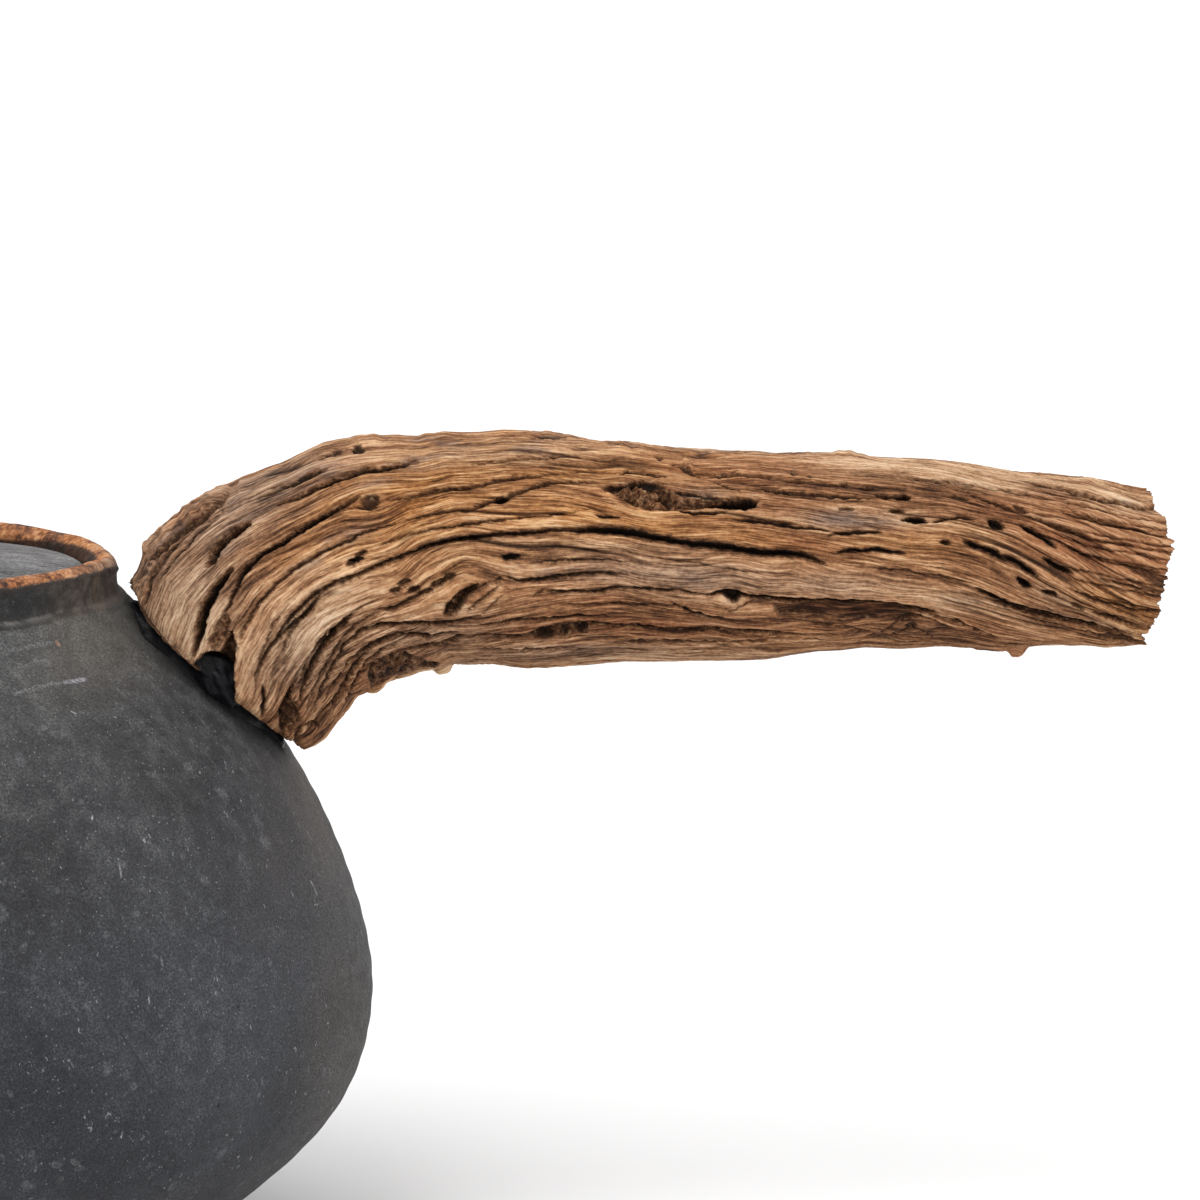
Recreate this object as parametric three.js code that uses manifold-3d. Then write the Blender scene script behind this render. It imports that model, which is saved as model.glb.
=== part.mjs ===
// Side-handled stoneware teapot with a driftwood handle.
// Millimetres, +Z up. The origin is the centre of the pot's flat base. +X points along the
// handle, and the spout points along -Y, a quarter turn clockwise from the handle seen from above.
import * as THREE from "three";
import { mergeVertices } from "three/addons/utils/BufferGeometryUtils.js";
import Module from "manifold-3d";

const wasm = await Module();
wasm.setup();

// ---- driving dimensions (mm) ----
const GAP = 0.3; // clearance between pieces that touch
const WALL = 3.0; // thickness of the thrown wall
const FLOOR = 4.0; // thickness of the base
const BASE_R = 35.5; // flat base
const SEAMS = [16.0, 60.0, 79.8]; // heights of the seams between foot, belly, shoulder and collar
const LEDGE_Z = 84.7; // top of the ledge that the lid rests on
const LEDGE_R = 23.5; // radius of the mouth inside the ledge
const COLLAR_IN_R = 28.0; // inside of the collar
const LID_R = 27.2;
const LID_EDGE = 2.7; // lid thickness at its edge
const LID_DOME = 1.5; // rise of the lid's top at its centre
const LID_VENT_R = 1.4;
const FLANGE_OUT_R = 22.5;
const FLANGE_IN_R = 20.1;
const FLANGE_DEPTH = 7.6;
const KNOB_R = 9.0;
const KNOB_H = 13.5;
const SPOUT_ROOT_Z = 57.0; // height of the spout's axis on the wall
const SPOUT_RISE = 46; // degrees above the horizontal
const SPOUT_LENGTH = 40.0;
const SPOUT_HOLE_R = 9.6; // hole through the wall behind the spout
const STRAINER_R = 14.6;
const STRAINER_WALL = 2.2;
const STRAINER_HOLE_R = 1.15;
const RESIN = 1.7; // thickness of the resin between shoulder and wood
const STUB_R = 6.4; // clay tenon inside the wood
const STUB_LENGTH = 15.0;
const STUB_ROOT = [44.1, 75.7]; // where the tenon's axis meets the shoulder, X and Z
const STUB_RISE = 48.8; // degrees above the horizontal

// Outside of the pot from base to lip, as [radius, height].
const OUTER = [
  [BASE_R, 0],
  [37.4, 0.7],
  [39.9, 2.6],
  [44.2, 6.0],
  [49.7, 10.65],
  [54.9, 15.3],
  [59.0, 20.3],
  [61.7, 26.3],
  [62.75, 33.2],
  [62.2, 39.8],
  [60.6, 46.15],
  [58.4, 52.3],
  [55.6, 58.5],
  [52.0, 64.8],
  [47.9, 69.9],
  [42.9, 74.55],
  [38.2, 78.5],
  [34.4, 81.75],
  [32.4, 83.9],
];
const COLLAR = [
  [31.45, 84.6],
  [31.2, 86.0],
  [31.35, 87.5],
  [31.6, 88.6],
  [31.0, 89.6],
  [29.9, 89.95],
  [28.8, 89.5],
  [28.15, 88.5],
  [COLLAR_IN_R, 87.0],
  [COLLAR_IN_R, LEDGE_Z],
  [LEDGE_R, LEDGE_Z],
  [LEDGE_R, 82.3],
  [28.0, 81.0],
  [31.6, 79.5],
];

// The driftwood as pairs of opposite outline points, [top X, top Z, bottom X, bottom Z, half depth], from inside the shoulder to the broken end.
const WOOD = [
  [28.5, 82.6, 53.9, 63.8, 12.6],
  [32.9, 85.8, 56.4, 66.0, 13.6],
  [34.2, 90.0, 58.6, 68.8, 14.1],
  [36.8, 93.2, 60.1, 71.1, 14.4],
  [40.5, 96.2, 61.7, 72.3, 14.5],
  [45.2, 98.5, 63.5, 72.9, 14.5],
  [50.2, 100.7, 65.7, 73.7, 14.4],
  [55.7, 102.9, 68.2, 74.4, 14.2],
  [60.4, 104.2, 70.7, 74.8, 14.0],
  [66.1, 104.6, 73.9, 75.6, 13.8],
  [71.7, 104.9, 77.5, 75.6, 13.6],
  [77.9, 105.1, 81.6, 75.3, 13.4],
  [83.5, 105.0, 85.8, 75.3, 13.3],
  [90.4, 103.9, 91.0, 75.7, 13.2],
  [97.0, 103.2, 97.0, 76.0, 13.0],
  [104.1, 102.7, 104.1, 76.1, 12.8],
  [111.6, 102.4, 111.6, 76.4, 12.5],
  [119.1, 102.3, 119.1, 77.2, 12.2],
  [126.6, 101.6, 126.6, 77.7, 11.9],
  [134.1, 101.2, 134.1, 77.9, 11.6],
  [141.6, 100.1, 141.6, 77.6, 11.3],
  [149.1, 99.4, 149.1, 77.8, 10.9],
  [155.4, 98.4, 155.4, 78.0, 10.5],
  [159.6, 97.4, 159.8, 78.6, 9.9],
  [162.9, 93.6, 161.9, 83.6, 6.4],
];

// ---- colours ----
const finish = (color, roughness) =>
  new THREE.MeshStandardMaterial({ color, roughness, metalness: 0 });
const STONEWARE = finish(0x3d3f42, 0.85);
const LID_CLAY = finish(0x74716e, 0.85);
const DRIFTWOOD = finish(0x9a7148, 0.8);
const BLACK_RESIN = finish(0x17191d, 0.35);
const INNER_CLAY = finish(0x54453b, 0.85);

// ---- helpers ----
function solidFrom(geometry) {
  const g = (geometry.index ? geometry.toNonIndexed() : geometry).clone();
  g.deleteAttribute("normal");
  g.deleteAttribute("uv");
  const merged = mergeVertices(g, 1e-4);
  const kept = [];
  const index = merged.index.array;
  for (let i = 0; i < index.length; i += 3) {
    const [a, b, c] = [index[i], index[i + 1], index[i + 2]];
    if (a !== b && b !== c && c !== a) kept.push(a, b, c);
  }
  const make = (tris) =>
    new wasm.Manifold(
      new wasm.Mesh({
        numProp: 3,
        vertProperties: merged.attributes.position.array,
        triVerts: new Uint32Array(tris),
      }),
    );
  const made = make(kept);
  if (made.volume() >= 0) return made;
  for (let i = 0; i < kept.length; i += 3)
    [kept[i + 1], kept[i + 2]] = [kept[i + 2], kept[i + 1]];
  return make(kept);
}

function geometryFrom(solid) {
  const m = solid.getMesh();
  const n = m.numProp;
  const v = new Float32Array(m.numVert * 3);
  for (let i = 0; i < m.numVert; i++)
    v.set(m.vertProperties.subarray(i * n, i * n + 3), i * 3);
  const g = new THREE.BufferGeometry();
  g.setAttribute("position", new THREE.BufferAttribute(v, 3));
  g.setIndex(new THREE.BufferAttribute(new Uint32Array(m.triVerts), 1));
  g.computeVertexNormals();
  return g;
}

// A solid of revolution about Z from [radius, height] points. Where start and end are off the axis, the profile closes on itself.
function revolve(points, segments) {
  const list = points.map(([r, z]) => new THREE.Vector2(r, z));
  const closed = list[0].x > 1e-6 || list[list.length - 1].x > 1e-6;
  if (closed) list.push(list[0].clone());
  const g = new THREE.LatheGeometry(list, segments);
  g.rotateX(Math.PI / 2); // lathe axis Y to Z
  return solidFrom(g);
}

// Turns +Z onto direction, then moves the origin to at.
function placed(solid, direction, at) {
  const m = new THREE.Matrix4().compose(
    at,
    new THREE.Quaternion().setFromUnitVectors(
      new THREE.Vector3(0, 0, 1),
      direction.clone().normalize(),
    ),
    new THREE.Vector3(1, 1, 1),
  );
  const g = geometryFrom(solid);
  g.deleteAttribute("normal");
  g.applyMatrix4(m);
  return solidFrom(g);
}

// Moves each point of an open profile along its normal, outwards for a positive distance.
function offsetProfile(points, distance) {
  return points.map(([r, z], i) => {
    const a = points[Math.max(i - 1, 0)];
    const b = points[Math.min(i + 1, points.length - 1)];
    const length = Math.hypot(b[0] - a[0], b[1] - a[1]);
    const nr = (b[1] - a[1]) / length;
    const nz = -(b[0] - a[0]) / length;
    return [r + nr * distance, z + nz * distance];
  });
}

// The filled outside of the pot, grown by a distance, to cut pieces that are luted or glued to it.
function potEnvelope(distance, segments = 96) {
  const side = [...OUTER, ...COLLAR.slice(0, 4)];
  const grown = offsetProfile(side, distance);
  return revolve(
    [[0, -distance], ...grown, [30.5 + distance, 90.5 + distance], [0, 90.5 + distance]],
    segments,
  );
}

// ---- pot body ----
const spoutAngle = THREE.MathUtils.degToRad(SPOUT_RISE);
const spoutAxis = new THREE.Vector3(0, -Math.cos(spoutAngle), Math.sin(spoutAngle));
const spoutRootR = 56.3; // radius of the pot at the spout's height
const spoutRoot = new THREE.Vector3(0, -spoutRootR, SPOUT_ROOT_Z);
const INNER = offsetProfile(OUTER, -WALL).filter(
  ([, z], i) => z > FLOOR + 2.4 && z < 79.0 && i % 2,
);
const potSolid = revolve(
  [[0, 0], ...OUTER, ...COLLAR, ...INNER.toReversed(), [38.6, FLOOR + 1.1], [34.5, FLOOR], [0, FLOOR]],
  60,
);
const spoutHole = placed(
  solidFrom(new THREE.CylinderGeometry(SPOUT_HOLE_R, SPOUT_HOLE_R, 30, 24).rotateX(Math.PI / 2)),
  spoutAxis,
  spoutRoot,
);
const potShell = potSolid.subtract(spoutHole);
// The thrown shell is parted into rings by level seams, two of them at the turns of its outline.
const potRing = (low, high) =>
  potShell.intersect(
    solidFrom(new THREE.BoxGeometry(160, 160, high - low).translate(0, 0, (low + high) / 2)),
  );
const potFoot = potRing(-1, SEAMS[0]);
const potBelly = potRing(SEAMS[0] + GAP, SEAMS[1]);
const potShoulder = potRing(SEAMS[1] + GAP, SEAMS[2]);
const potCollar = potRing(SEAMS[2] + GAP, 92);

// ---- spout: a hollow tapered tube, cut level at its mouth and to the wall at its root ----
const spoutOuter = [
  [17.0, -14],
  [16.2, -4],
  [14.4, 2],
  [12.2, 8],
  [10.4, 15],
  [9.0, 23],
  [8.0, 31],
  [7.5, SPOUT_LENGTH],
  [7.6, SPOUT_LENGTH + 6],
];
const spoutInner = [
  [5.4, SPOUT_LENGTH + 6],
  [5.3, SPOUT_LENGTH - 2],
  [5.9, 30],
  [7.2, 20],
  [9.2, 10],
  [11.2, 2],
  [12.4, -4],
  [12.8, -14],
];
const mouthTip = spoutRoot.clone().addScaledVector(spoutAxis, SPOUT_LENGTH);
const spoutCut = new THREE.BoxGeometry(60, 60, 30);
spoutCut.rotateX(THREE.MathUtils.degToRad(14)); // the mouth leans a little outwards
spoutCut.translate(0, mouthTip.y, mouthTip.z + 15.2);
const spout = placed(revolve([...spoutOuter, ...spoutInner], 28), spoutAxis, spoutRoot)
  .subtract(potEnvelope(GAP))
  .subtract(solidFrom(spoutCut));

// ---- strainer: a pierced dome inside the wall, behind the spout ----
const innerSide = offsetProfile(INNER, -GAP);
const innerEnvelope = revolve(
  [[0, innerSide[0][1]], ...innerSide, [0, innerSide[innerSide.length - 1][1]]],
  96,
);
const domeCentre = new THREE.Vector3(0, -53.0, 55.8);
const ball = (r, w, h) => {
  const g = new THREE.SphereGeometry(r, w, h);
  g.translate(domeCentre.x, domeCentre.y, domeCentre.z);
  return solidFrom(g);
};
let strainer = ball(STRAINER_R, 22, 14)
  .subtract(ball(STRAINER_R - STRAINER_WALL, 22, 14))
  .intersect(innerEnvelope);
const inwards = new THREE.Vector3(0, 1, -0.12).normalize();
const sideways = new THREE.Vector3(1, 0, 0);
for (const [ring, count] of [
  [0, 1],
  [24, 6],
  [48, 11],
])
  for (let i = 0; i < count; i++) {
    const turn = new THREE.Quaternion().setFromAxisAngle(inwards, (2 * Math.PI * i) / count);
    const direction = inwards
      .clone()
      .applyAxisAngle(sideways, THREE.MathUtils.degToRad(ring))
      .applyQuaternion(turn);
    const hole = placed(
      solidFrom(
        new THREE.CylinderGeometry(STRAINER_HOLE_R, STRAINER_HOLE_R, 8, 7).rotateX(Math.PI / 2),
      ),
      direction,
      domeCentre.clone().addScaledVector(direction, STRAINER_R - STRAINER_WALL / 2),
    );
    strainer = strainer.subtract(hole);
  }

// ---- handle stub: a clay tenon on the shoulder, inside the wood ----
const stubAngle = THREE.MathUtils.degToRad(STUB_RISE);
const stubAxis = new THREE.Vector3(Math.cos(stubAngle), 0, Math.sin(stubAngle));
const stubRoot = new THREE.Vector3(STUB_ROOT[0], 0, STUB_ROOT[1]);
const stubProfile = (grow) => [
  [0, -5 - grow],
  [STUB_R + 2.4 + grow, -5 - grow],
  [STUB_R + 2.4 + grow, 0.2],
  [STUB_R + 0.9 + grow, 2.0 + grow],
  [STUB_R + grow, 4.4 + grow],
  [STUB_R - 0.5 + grow, STUB_LENGTH - 1 + grow],
  [STUB_R - 1.5 + grow, STUB_LENGTH + grow],
  [0, STUB_LENGTH + grow],
];
const stub = placed(revolve(stubProfile(0), 24), stubAxis, stubRoot).subtract(potEnvelope(GAP));
const stubSpace = placed(revolve(stubProfile(GAP), 24), stubAxis, stubRoot);

// ---- driftwood: oval sections swept through the pairs of outline points ----
function branch(scale, rings, around) {
  const curve = (pick) =>
    new THREE.CatmullRomCurve3(
      WOOD.map(pick),
      false,
      "catmullrom",
      0.5,
    );
  const top = curve((w) => new THREE.Vector3(w[0], 0, w[1]));
  const bottom = curve((w) => new THREE.Vector3(w[2], 0, w[3]));
  const depth = curve((w, i) => new THREE.Vector3(w[4], i, 0));
  const g = new THREE.CylinderGeometry(1, 1, 1, around, rings);
  const p = g.getAttribute("position");
  for (let i = 0; i < p.count; i++) {
    const u = THREE.MathUtils.clamp(p.getY(i) + 0.5, 0, 1);
    const t = top.getPoint(u);
    const b = bottom.getPoint(u);
    const d = depth.getPoint(u).x;
    const centre = t.clone().add(b).multiplyScalar(0.5);
    const half = t.clone().sub(b).multiplyScalar(0.5);
    const angle = Math.atan2(p.getZ(i), p.getX(i));
    // shallow lobes run along the branch, as on a fluted, weathered limb
    const lobes =
      u < 0.001 || u > 0.999
        ? 1
        : 1 + 0.025 * Math.cos(5 * angle + 3 * u) + 0.015 * Math.cos(8 * angle - 7 * u);
    const x = p.getX(i) * scale * lobes;
    const y = p.getZ(i) * scale * lobes;
    const q = centre.addScaledVector(half, x);
    p.setXYZ(i, q.x, y * d, q.z);
  }
  return solidFrom(g);
}
const woodCut = potEnvelope(GAP + RESIN + GAP);
const wood = branch(1, 34, 22).subtract(woodCut).subtract(stubSpace);

// ---- resin bed: fills the space between shoulder and wood, round the tenon ----
const resin = branch(0.95, 34, 22)
  .intersect(potEnvelope(GAP + RESIN))
  .subtract(potEnvelope(GAP))
  .subtract(stubSpace);

// ---- lid ----
const lidBottom = LEDGE_Z + GAP;
const lidTop = lidBottom + LID_EDGE;
const lidPlate = revolve(
  [
    [0, lidBottom],
    [LID_R - 0.5, lidBottom],
    [LID_R, lidBottom + 0.6],
    [LID_R, lidTop - 0.7],
    [LID_R - 0.8, lidTop],
    [21, lidTop + LID_DOME * 0.45],
    [12, lidTop + LID_DOME * 0.85],
    [0, lidTop + LID_DOME],
  ],
  48,
).subtract(
  solidFrom(
    new THREE.CylinderGeometry(LID_VENT_R, LID_VENT_R, 20, 16)
      .rotateX(Math.PI / 2)
      .translate(-14.5, 0, lidTop),
  ),
);
const lidFlange = revolve(
  [
    [FLANGE_IN_R, lidBottom - GAP],
    [FLANGE_OUT_R, lidBottom - GAP],
    [FLANGE_OUT_R, lidBottom - FLANGE_DEPTH + 0.8],
    [FLANGE_OUT_R - 0.8, lidBottom - FLANGE_DEPTH],
    [FLANGE_IN_R + 0.6, lidBottom - FLANGE_DEPTH],
    [FLANGE_IN_R, lidBottom - FLANGE_DEPTH + 0.6],
  ],
  40,
);
const knobFoot = lidTop + LID_DOME + GAP;
const lidKnob = revolve(
  [
    [0, knobFoot],
    [6.2, knobFoot],
    [4.9, knobFoot + 2.2],
    [5.0, knobFoot + 4.6],
    [7.4, knobFoot + 7.2],
    [KNOB_R, knobFoot + 9.4],
    [KNOB_R - 0.3, knobFoot + 11.4],
    [KNOB_R - 2.4, knobFoot + KNOB_H - 0.5],
    [4.0, knobFoot + KNOB_H],
    [0, knobFoot + KNOB_H - 0.6],
  ],
  28,
);

// ---- the scene graph ----
const group = new THREE.Group();
const pot = new THREE.Group();
const lid = new THREE.Group();
group.add(pot, lid);
for (const [parent, name, solid, material] of [
  [pot, "pot_foot", potFoot, STONEWARE],
  [pot, "pot_belly", potBelly, STONEWARE],
  [pot, "pot_shoulder", potShoulder, STONEWARE],
  [pot, "pot_collar", potCollar, STONEWARE],
  [pot, "spout", spout, STONEWARE],
  [pot, "strainer", strainer, INNER_CLAY],
  [pot, "handle_stub", stub, STONEWARE],
  [pot, "resin_bed", resin, BLACK_RESIN],
  [pot, "handle_wood", wood, DRIFTWOOD],
  [lid, "lid_plate", lidPlate, LID_CLAY],
  [lid, "lid_flange", lidFlange, LID_CLAY],
  [lid, "lid_knob", lidKnob, STONEWARE],
]) {
  const mesh = new THREE.Mesh(geometryFrom(solid), material);
  mesh.name = name;
  parent.add(mesh);
}

export default group;
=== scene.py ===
# Side-handled stoneware teapot with a driftwood handle.
# Everything is laid out in millimetres and written to Blender in metres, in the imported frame:
# origin at the centre of the flat base, +X along the handle, the spout along -Y, +Z up.
import math

import bpy
import numpy as np
from mathutils import Matrix, Vector


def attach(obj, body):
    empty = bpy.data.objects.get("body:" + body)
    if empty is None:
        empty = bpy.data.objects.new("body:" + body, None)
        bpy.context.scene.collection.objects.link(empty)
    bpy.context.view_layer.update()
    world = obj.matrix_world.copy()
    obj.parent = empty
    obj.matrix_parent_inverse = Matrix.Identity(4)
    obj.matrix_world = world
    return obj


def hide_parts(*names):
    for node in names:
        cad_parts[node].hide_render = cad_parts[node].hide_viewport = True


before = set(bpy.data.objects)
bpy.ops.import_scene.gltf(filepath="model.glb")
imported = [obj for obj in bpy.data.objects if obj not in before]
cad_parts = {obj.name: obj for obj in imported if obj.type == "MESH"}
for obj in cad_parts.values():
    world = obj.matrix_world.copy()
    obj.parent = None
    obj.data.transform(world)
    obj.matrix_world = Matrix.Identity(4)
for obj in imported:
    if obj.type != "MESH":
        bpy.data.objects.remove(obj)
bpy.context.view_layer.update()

MM = 0.001

# ------------------------------------------------------------------ camera
ELEVATION = math.radians(8.9)
DISTANCE = 720.0
LOOK = np.array([91.6, 0.0, 83.7])
LENS_RATIO = 4.8  # focal length over sensor width
VIEW = np.array([0.0, math.cos(ELEVATION), -math.sin(ELEVATION)])
UP = np.array([0.0, math.sin(ELEVATION), math.cos(ELEVATION)])
EYE = LOOK - VIEW * DISTANCE

cam_data = bpy.data.cameras.new("photo_camera")
cam_data.sensor_width = 36.0
cam_data.lens = LENS_RATIO * 36.0
cam_data.clip_start = 0.05
cam_data.clip_end = 60.0
cam = bpy.data.objects.new("photo_camera", cam_data)
bpy.context.scene.collection.objects.link(cam)
cam.location = Vector(EYE * MM)
cam.rotation_euler = Vector(VIEW).to_track_quat("-Z", "Y").to_euler()
bpy.context.scene.camera = cam


def project(p):
    """Image coordinates, in a 1200 x 1200 frame, of points in millimetres."""
    rel = p - EYE
    depth = rel @ VIEW
    return (
        600.0 + 1200.0 * LENS_RATIO * rel[..., 0] / depth,
        600.0 - 1200.0 * LENS_RATIO * (rel @ UP) / depth,
    )


# ------------------------------------------------------------------ numeric helpers
class Noise:
    """Seeded gradient noise, about -1..1."""

    def __init__(self, seed):
        rng = np.random.RandomState(seed)
        p = rng.permutation(256)
        self.p = np.concatenate([p, p])
        g = rng.normal(size=(256, 3))
        self.g = g / np.linalg.norm(g, axis=1, keepdims=True)

    def __call__(self, x, y, z):
        x, y, z = np.broadcast_arrays(x, y, z)
        xi, yi, zi = np.floor(x), np.floor(y), np.floor(z)
        xf, yf, zf = x - xi, y - yi, z - zi
        xi, yi, zi = (v.astype(np.int64) & 255 for v in (xi, yi, zi))
        fx, fy, fz = (v * v * v * (v * (v * 6 - 15) + 10) for v in (xf, yf, zf))
        out = 0.0
        for dx in (0, 1):
            wx = fx if dx else 1 - fx
            px = self.p[(xi + dx) & 255]
            for dy in (0, 1):
                wy = fy if dy else 1 - fy
                py = self.p[px + ((yi + dy) & 255)]
                for dz in (0, 1):
                    wz = fz if dz else 1 - fz
                    g = self.g[self.p[py + ((zi + dz) & 255)]]
                    out = out + wx * wy * wz * (
                        g[..., 0] * (xf - dx) + g[..., 1] * (yf - dy) + g[..., 2] * (zf - dz)
                    )
        return out * 1.6


def smooth(a, lo, hi):
    t = np.clip((a - lo) / (hi - lo), 0, 1)
    return t * t * (3 - 2 * t)


def unit(v):
    return v / np.maximum(np.linalg.norm(v, axis=-1, keepdims=True), 1e-12)


def along(points):
    p = np.asarray(points, float)
    return np.concatenate([[0], np.cumsum(np.linalg.norm(np.diff(p, axis=0), axis=1))])


def at(points, dist):
    p = np.asarray(points, float)
    s = along(p)
    return np.stack([np.interp(dist, s, p[:, k]) for k in range(p.shape[1])], -1)


def spline(points, per):
    """Catmull-Rom curve through the points, with `per` samples to a span."""
    p = np.asarray(points, float)
    e = np.vstack([2 * p[0] - p[1], p, 2 * p[-1] - p[-2]])
    t = np.linspace(0, 1, per, endpoint=False)[:, None]
    out = []
    for i in range(len(p) - 1):
        a, b, c, d = e[i : i + 4]
        out.append(
            0.5 * (2 * b + (c - a) * t + (2 * a - 5 * b + 4 * c - d) * t**2 + (3 * b - a - 3 * c + d) * t**3)
        )
    out.append(p[-1:])
    return np.vstack(out)


def blur(a, sx, sy):
    """Gaussian blur of a grid whose second axis closes on itself; the first is mirrored."""
    n, m = a.shape
    b = np.concatenate([a, a[::-1]], 0)
    fy = np.fft.fftfreq(2 * n)[:, None]
    fx = np.fft.fftfreq(m)[None, :]
    k = np.exp(-2 * (math.pi**2) * ((fy * sy) ** 2 + (fx * sx) ** 2))
    return np.real(np.fft.ifft2(np.fft.fft2(b) * k))[:n]


# ------------------------------------------------------------------ mesh helpers
def mesh_from(name, verts, quads, tris=None, uvs=None, attrs=None):
    """A smooth-shaded mesh object from arrays in millimetres."""
    me = bpy.data.meshes.new(name)
    nq = len(quads)
    nt = 0 if tris is None else len(tris)
    me.vertices.add(len(verts))
    me.vertices.foreach_set("co", (np.asarray(verts) * MM).astype(np.float32).ravel())
    loops = np.asarray(quads, np.int64).ravel()
    if nt:
        loops = np.concatenate([loops, np.asarray(tris, np.int64).ravel()])
    me.loops.add(len(loops))
    me.loops.foreach_set("vertex_index", loops.astype(np.int32))
    starts = np.concatenate([np.arange(nq) * 4, nq * 4 + np.arange(nt) * 3]).astype(np.int32)
    me.polygons.add(nq + nt)
    me.polygons.foreach_set("loop_start", starts)
    me.polygons.foreach_set("use_smooth", np.ones(nq + nt, bool))
    if uvs is not None:
        layer = me.uv_layers.new(name="OFBake")
        layer.uv.foreach_set("vector", np.asarray(uvs, np.float32).ravel())
    me.update(calc_edges=True)
    me.validate(clean_customdata=False)
    for key, val in (attrs or {}).items():
        val = np.asarray(val, np.float32)
        kind = "FLOAT_VECTOR" if val.ndim == 2 else "FLOAT"
        layer = me.attributes.new(key, kind, "POINT")
        layer.data.foreach_set("vector" if val.ndim == 2 else "value", val.ravel())
    ob = bpy.data.objects.new(name, me)
    bpy.context.scene.collection.objects.link(ob)
    return ob


def rings_mesh(name, rings, poles=(None, None), attrs=None):
    """Closes a stack of rings (n, m, 3) round its second axis, with a pole point or nothing at each end.
    Without poles the last ring joins the first, as on a lathe profile that closes on itself."""
    n, m, _ = rings.shape
    verts = rings.reshape(-1, 3)
    torus = poles[0] is None and poles[1] is None
    rows = n if torus else n - 1
    i = np.arange(rows)[:, None]
    j = np.arange(m)[None, :]
    i2, j2 = (i + 1) % n, (j + 1) % m
    quads = np.stack([i * m + j, i * m + j2, i2 * m + j2, i2 * m + j], -1).reshape(-1, 4)
    u0, u1 = np.broadcast_to(j / m, (rows, m)), np.broadcast_to((j + 1) / m, (rows, m))
    seg = np.linalg.norm(np.diff(rings, axis=0), axis=2).mean(1)
    lens = np.concatenate([[0], np.cumsum(seg)])
    if torus:
        lens = np.append(lens, lens[-1] + np.linalg.norm(rings[0] - rings[-1], axis=1).mean())
    v = (lens / lens[-1]) * 0.98 + 0.01
    v0, v1 = np.broadcast_to(v[:rows, None], (rows, m)), np.broadcast_to(v[1 : rows + 1, None], (rows, m))
    uv = np.stack([np.stack([u0, v0], -1), np.stack([u1, v0], -1), np.stack([u1, v1], -1), np.stack([u0, v1], -1)], 2)
    uv = uv.reshape(-1, 2)
    tris, uvt = [], []
    extra = []
    for end, pole in enumerate(poles):
        if pole is None:
            continue
        k = len(verts) + len(extra)
        extra.append(pole)
        a = np.arange(m) + (0 if end == 0 else (n - 1) * m)
        b = np.roll(a, -1)
        t = np.stack([b, a, np.full(m, k)], -1) if end == 0 else np.stack([a, b, np.full(m, k)], -1)
        tris.append(t)
        vv, pv = (0.01, 0.0) if end == 0 else (0.99, 1.0)
        ua, ub = np.arange(m) / m, (np.arange(m) + 1) / m
        first, second = (ub, ua) if end == 0 else (ua, ub)
        uvt.append(
            np.stack(
                [np.stack([first, np.full(m, vv)], -1), np.stack([second, np.full(m, vv)], -1), np.stack([(ua + ub) / 2, np.full(m, pv)], -1)],
                1,
            ).reshape(-1, 2)
        )
    if extra:
        verts = np.vstack([verts, extra])
        tris = np.vstack(tris)
        uv = np.vstack([uv, *uvt])
    else:
        tris = None
    tri = np.vstack([quads[:, [0, 1, 2]], quads[:, [0, 2, 3]]] + ([tris] if tris is not None else []))
    corner = verts[tri]
    if np.einsum("ij,ij->", corner[:, 0], np.cross(corner[:, 1], corner[:, 2])) < 0:
        quads = quads[:, ::-1]
        nq = len(quads)
        uvq = uv[: nq * 4].reshape(-1, 4, 2)[:, ::-1].reshape(-1, 2)
        if tris is not None:
            tris = tris[:, ::-1]
            uv = np.vstack([uvq, uv[nq * 4 :].reshape(-1, 3, 2)[:, ::-1].reshape(-1, 2)])
        else:
            uv = uvq
    full = {}
    for key, val in (attrs or {}).items():
        val = np.asarray(val, float)
        flat = val.reshape(n * m, -1) if val.ndim == 3 else val.reshape(n * m, 1)
        for end, pole in enumerate(poles):
            if pole is not None:
                row = flat[:m] if end == 0 else flat[(n - 1) * m : n * m]
                flat = np.vstack([flat, row.mean(0, keepdims=True)])
        full[key] = flat if val.ndim == 3 else flat[:, 0]
    return mesh_from(name, verts, quads, tris, uv, full)


def lathe(name, profile, segments, wobble=None):
    """Revolves a profile [radius, height]. It starts and ends on the axis, or closes on itself."""
    p = np.asarray(profile, float)
    a = np.arange(segments) / segments * 2 * math.pi
    poles = (None, None)
    if p[0, 0] < 1e-6 and p[-1, 0] < 1e-6:
        poles = ((0, 0, p[0, 1]), (0, 0, p[-1, 1]))
        p = p[1:-1]
    r = p[:, None, 0] * np.ones(segments)
    z = p[:, None, 1] * np.ones(segments)
    if wobble is not None:
        r, z = wobble(r, z, np.broadcast_to(a, r.shape))
    rings = np.stack([r * np.cos(a), r * np.sin(a), z], -1)
    return rings_mesh(name, rings, poles)


def boolean(obj, cutter, operation="DIFFERENCE"):
    mod = obj.modifiers.new("cut", "BOOLEAN")
    mod.operation = operation
    mod.object = cutter
    mod.solver = "MANIFOLD" if "MANIFOLD" in mod.bl_rna.properties["solver"].enum_items.keys() else "EXACT"
    deps = bpy.context.evaluated_depsgraph_get()
    done = bpy.data.meshes.new_from_object(obj.evaluated_get(deps))
    obj.modifiers.clear()
    old = obj.data
    obj.data = done
    bpy.data.meshes.remove(old)
    bpy.data.objects.remove(cutter)
    obj.data.polygons.foreach_set("use_smooth", np.ones(len(obj.data.polygons), bool))
    return obj


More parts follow.
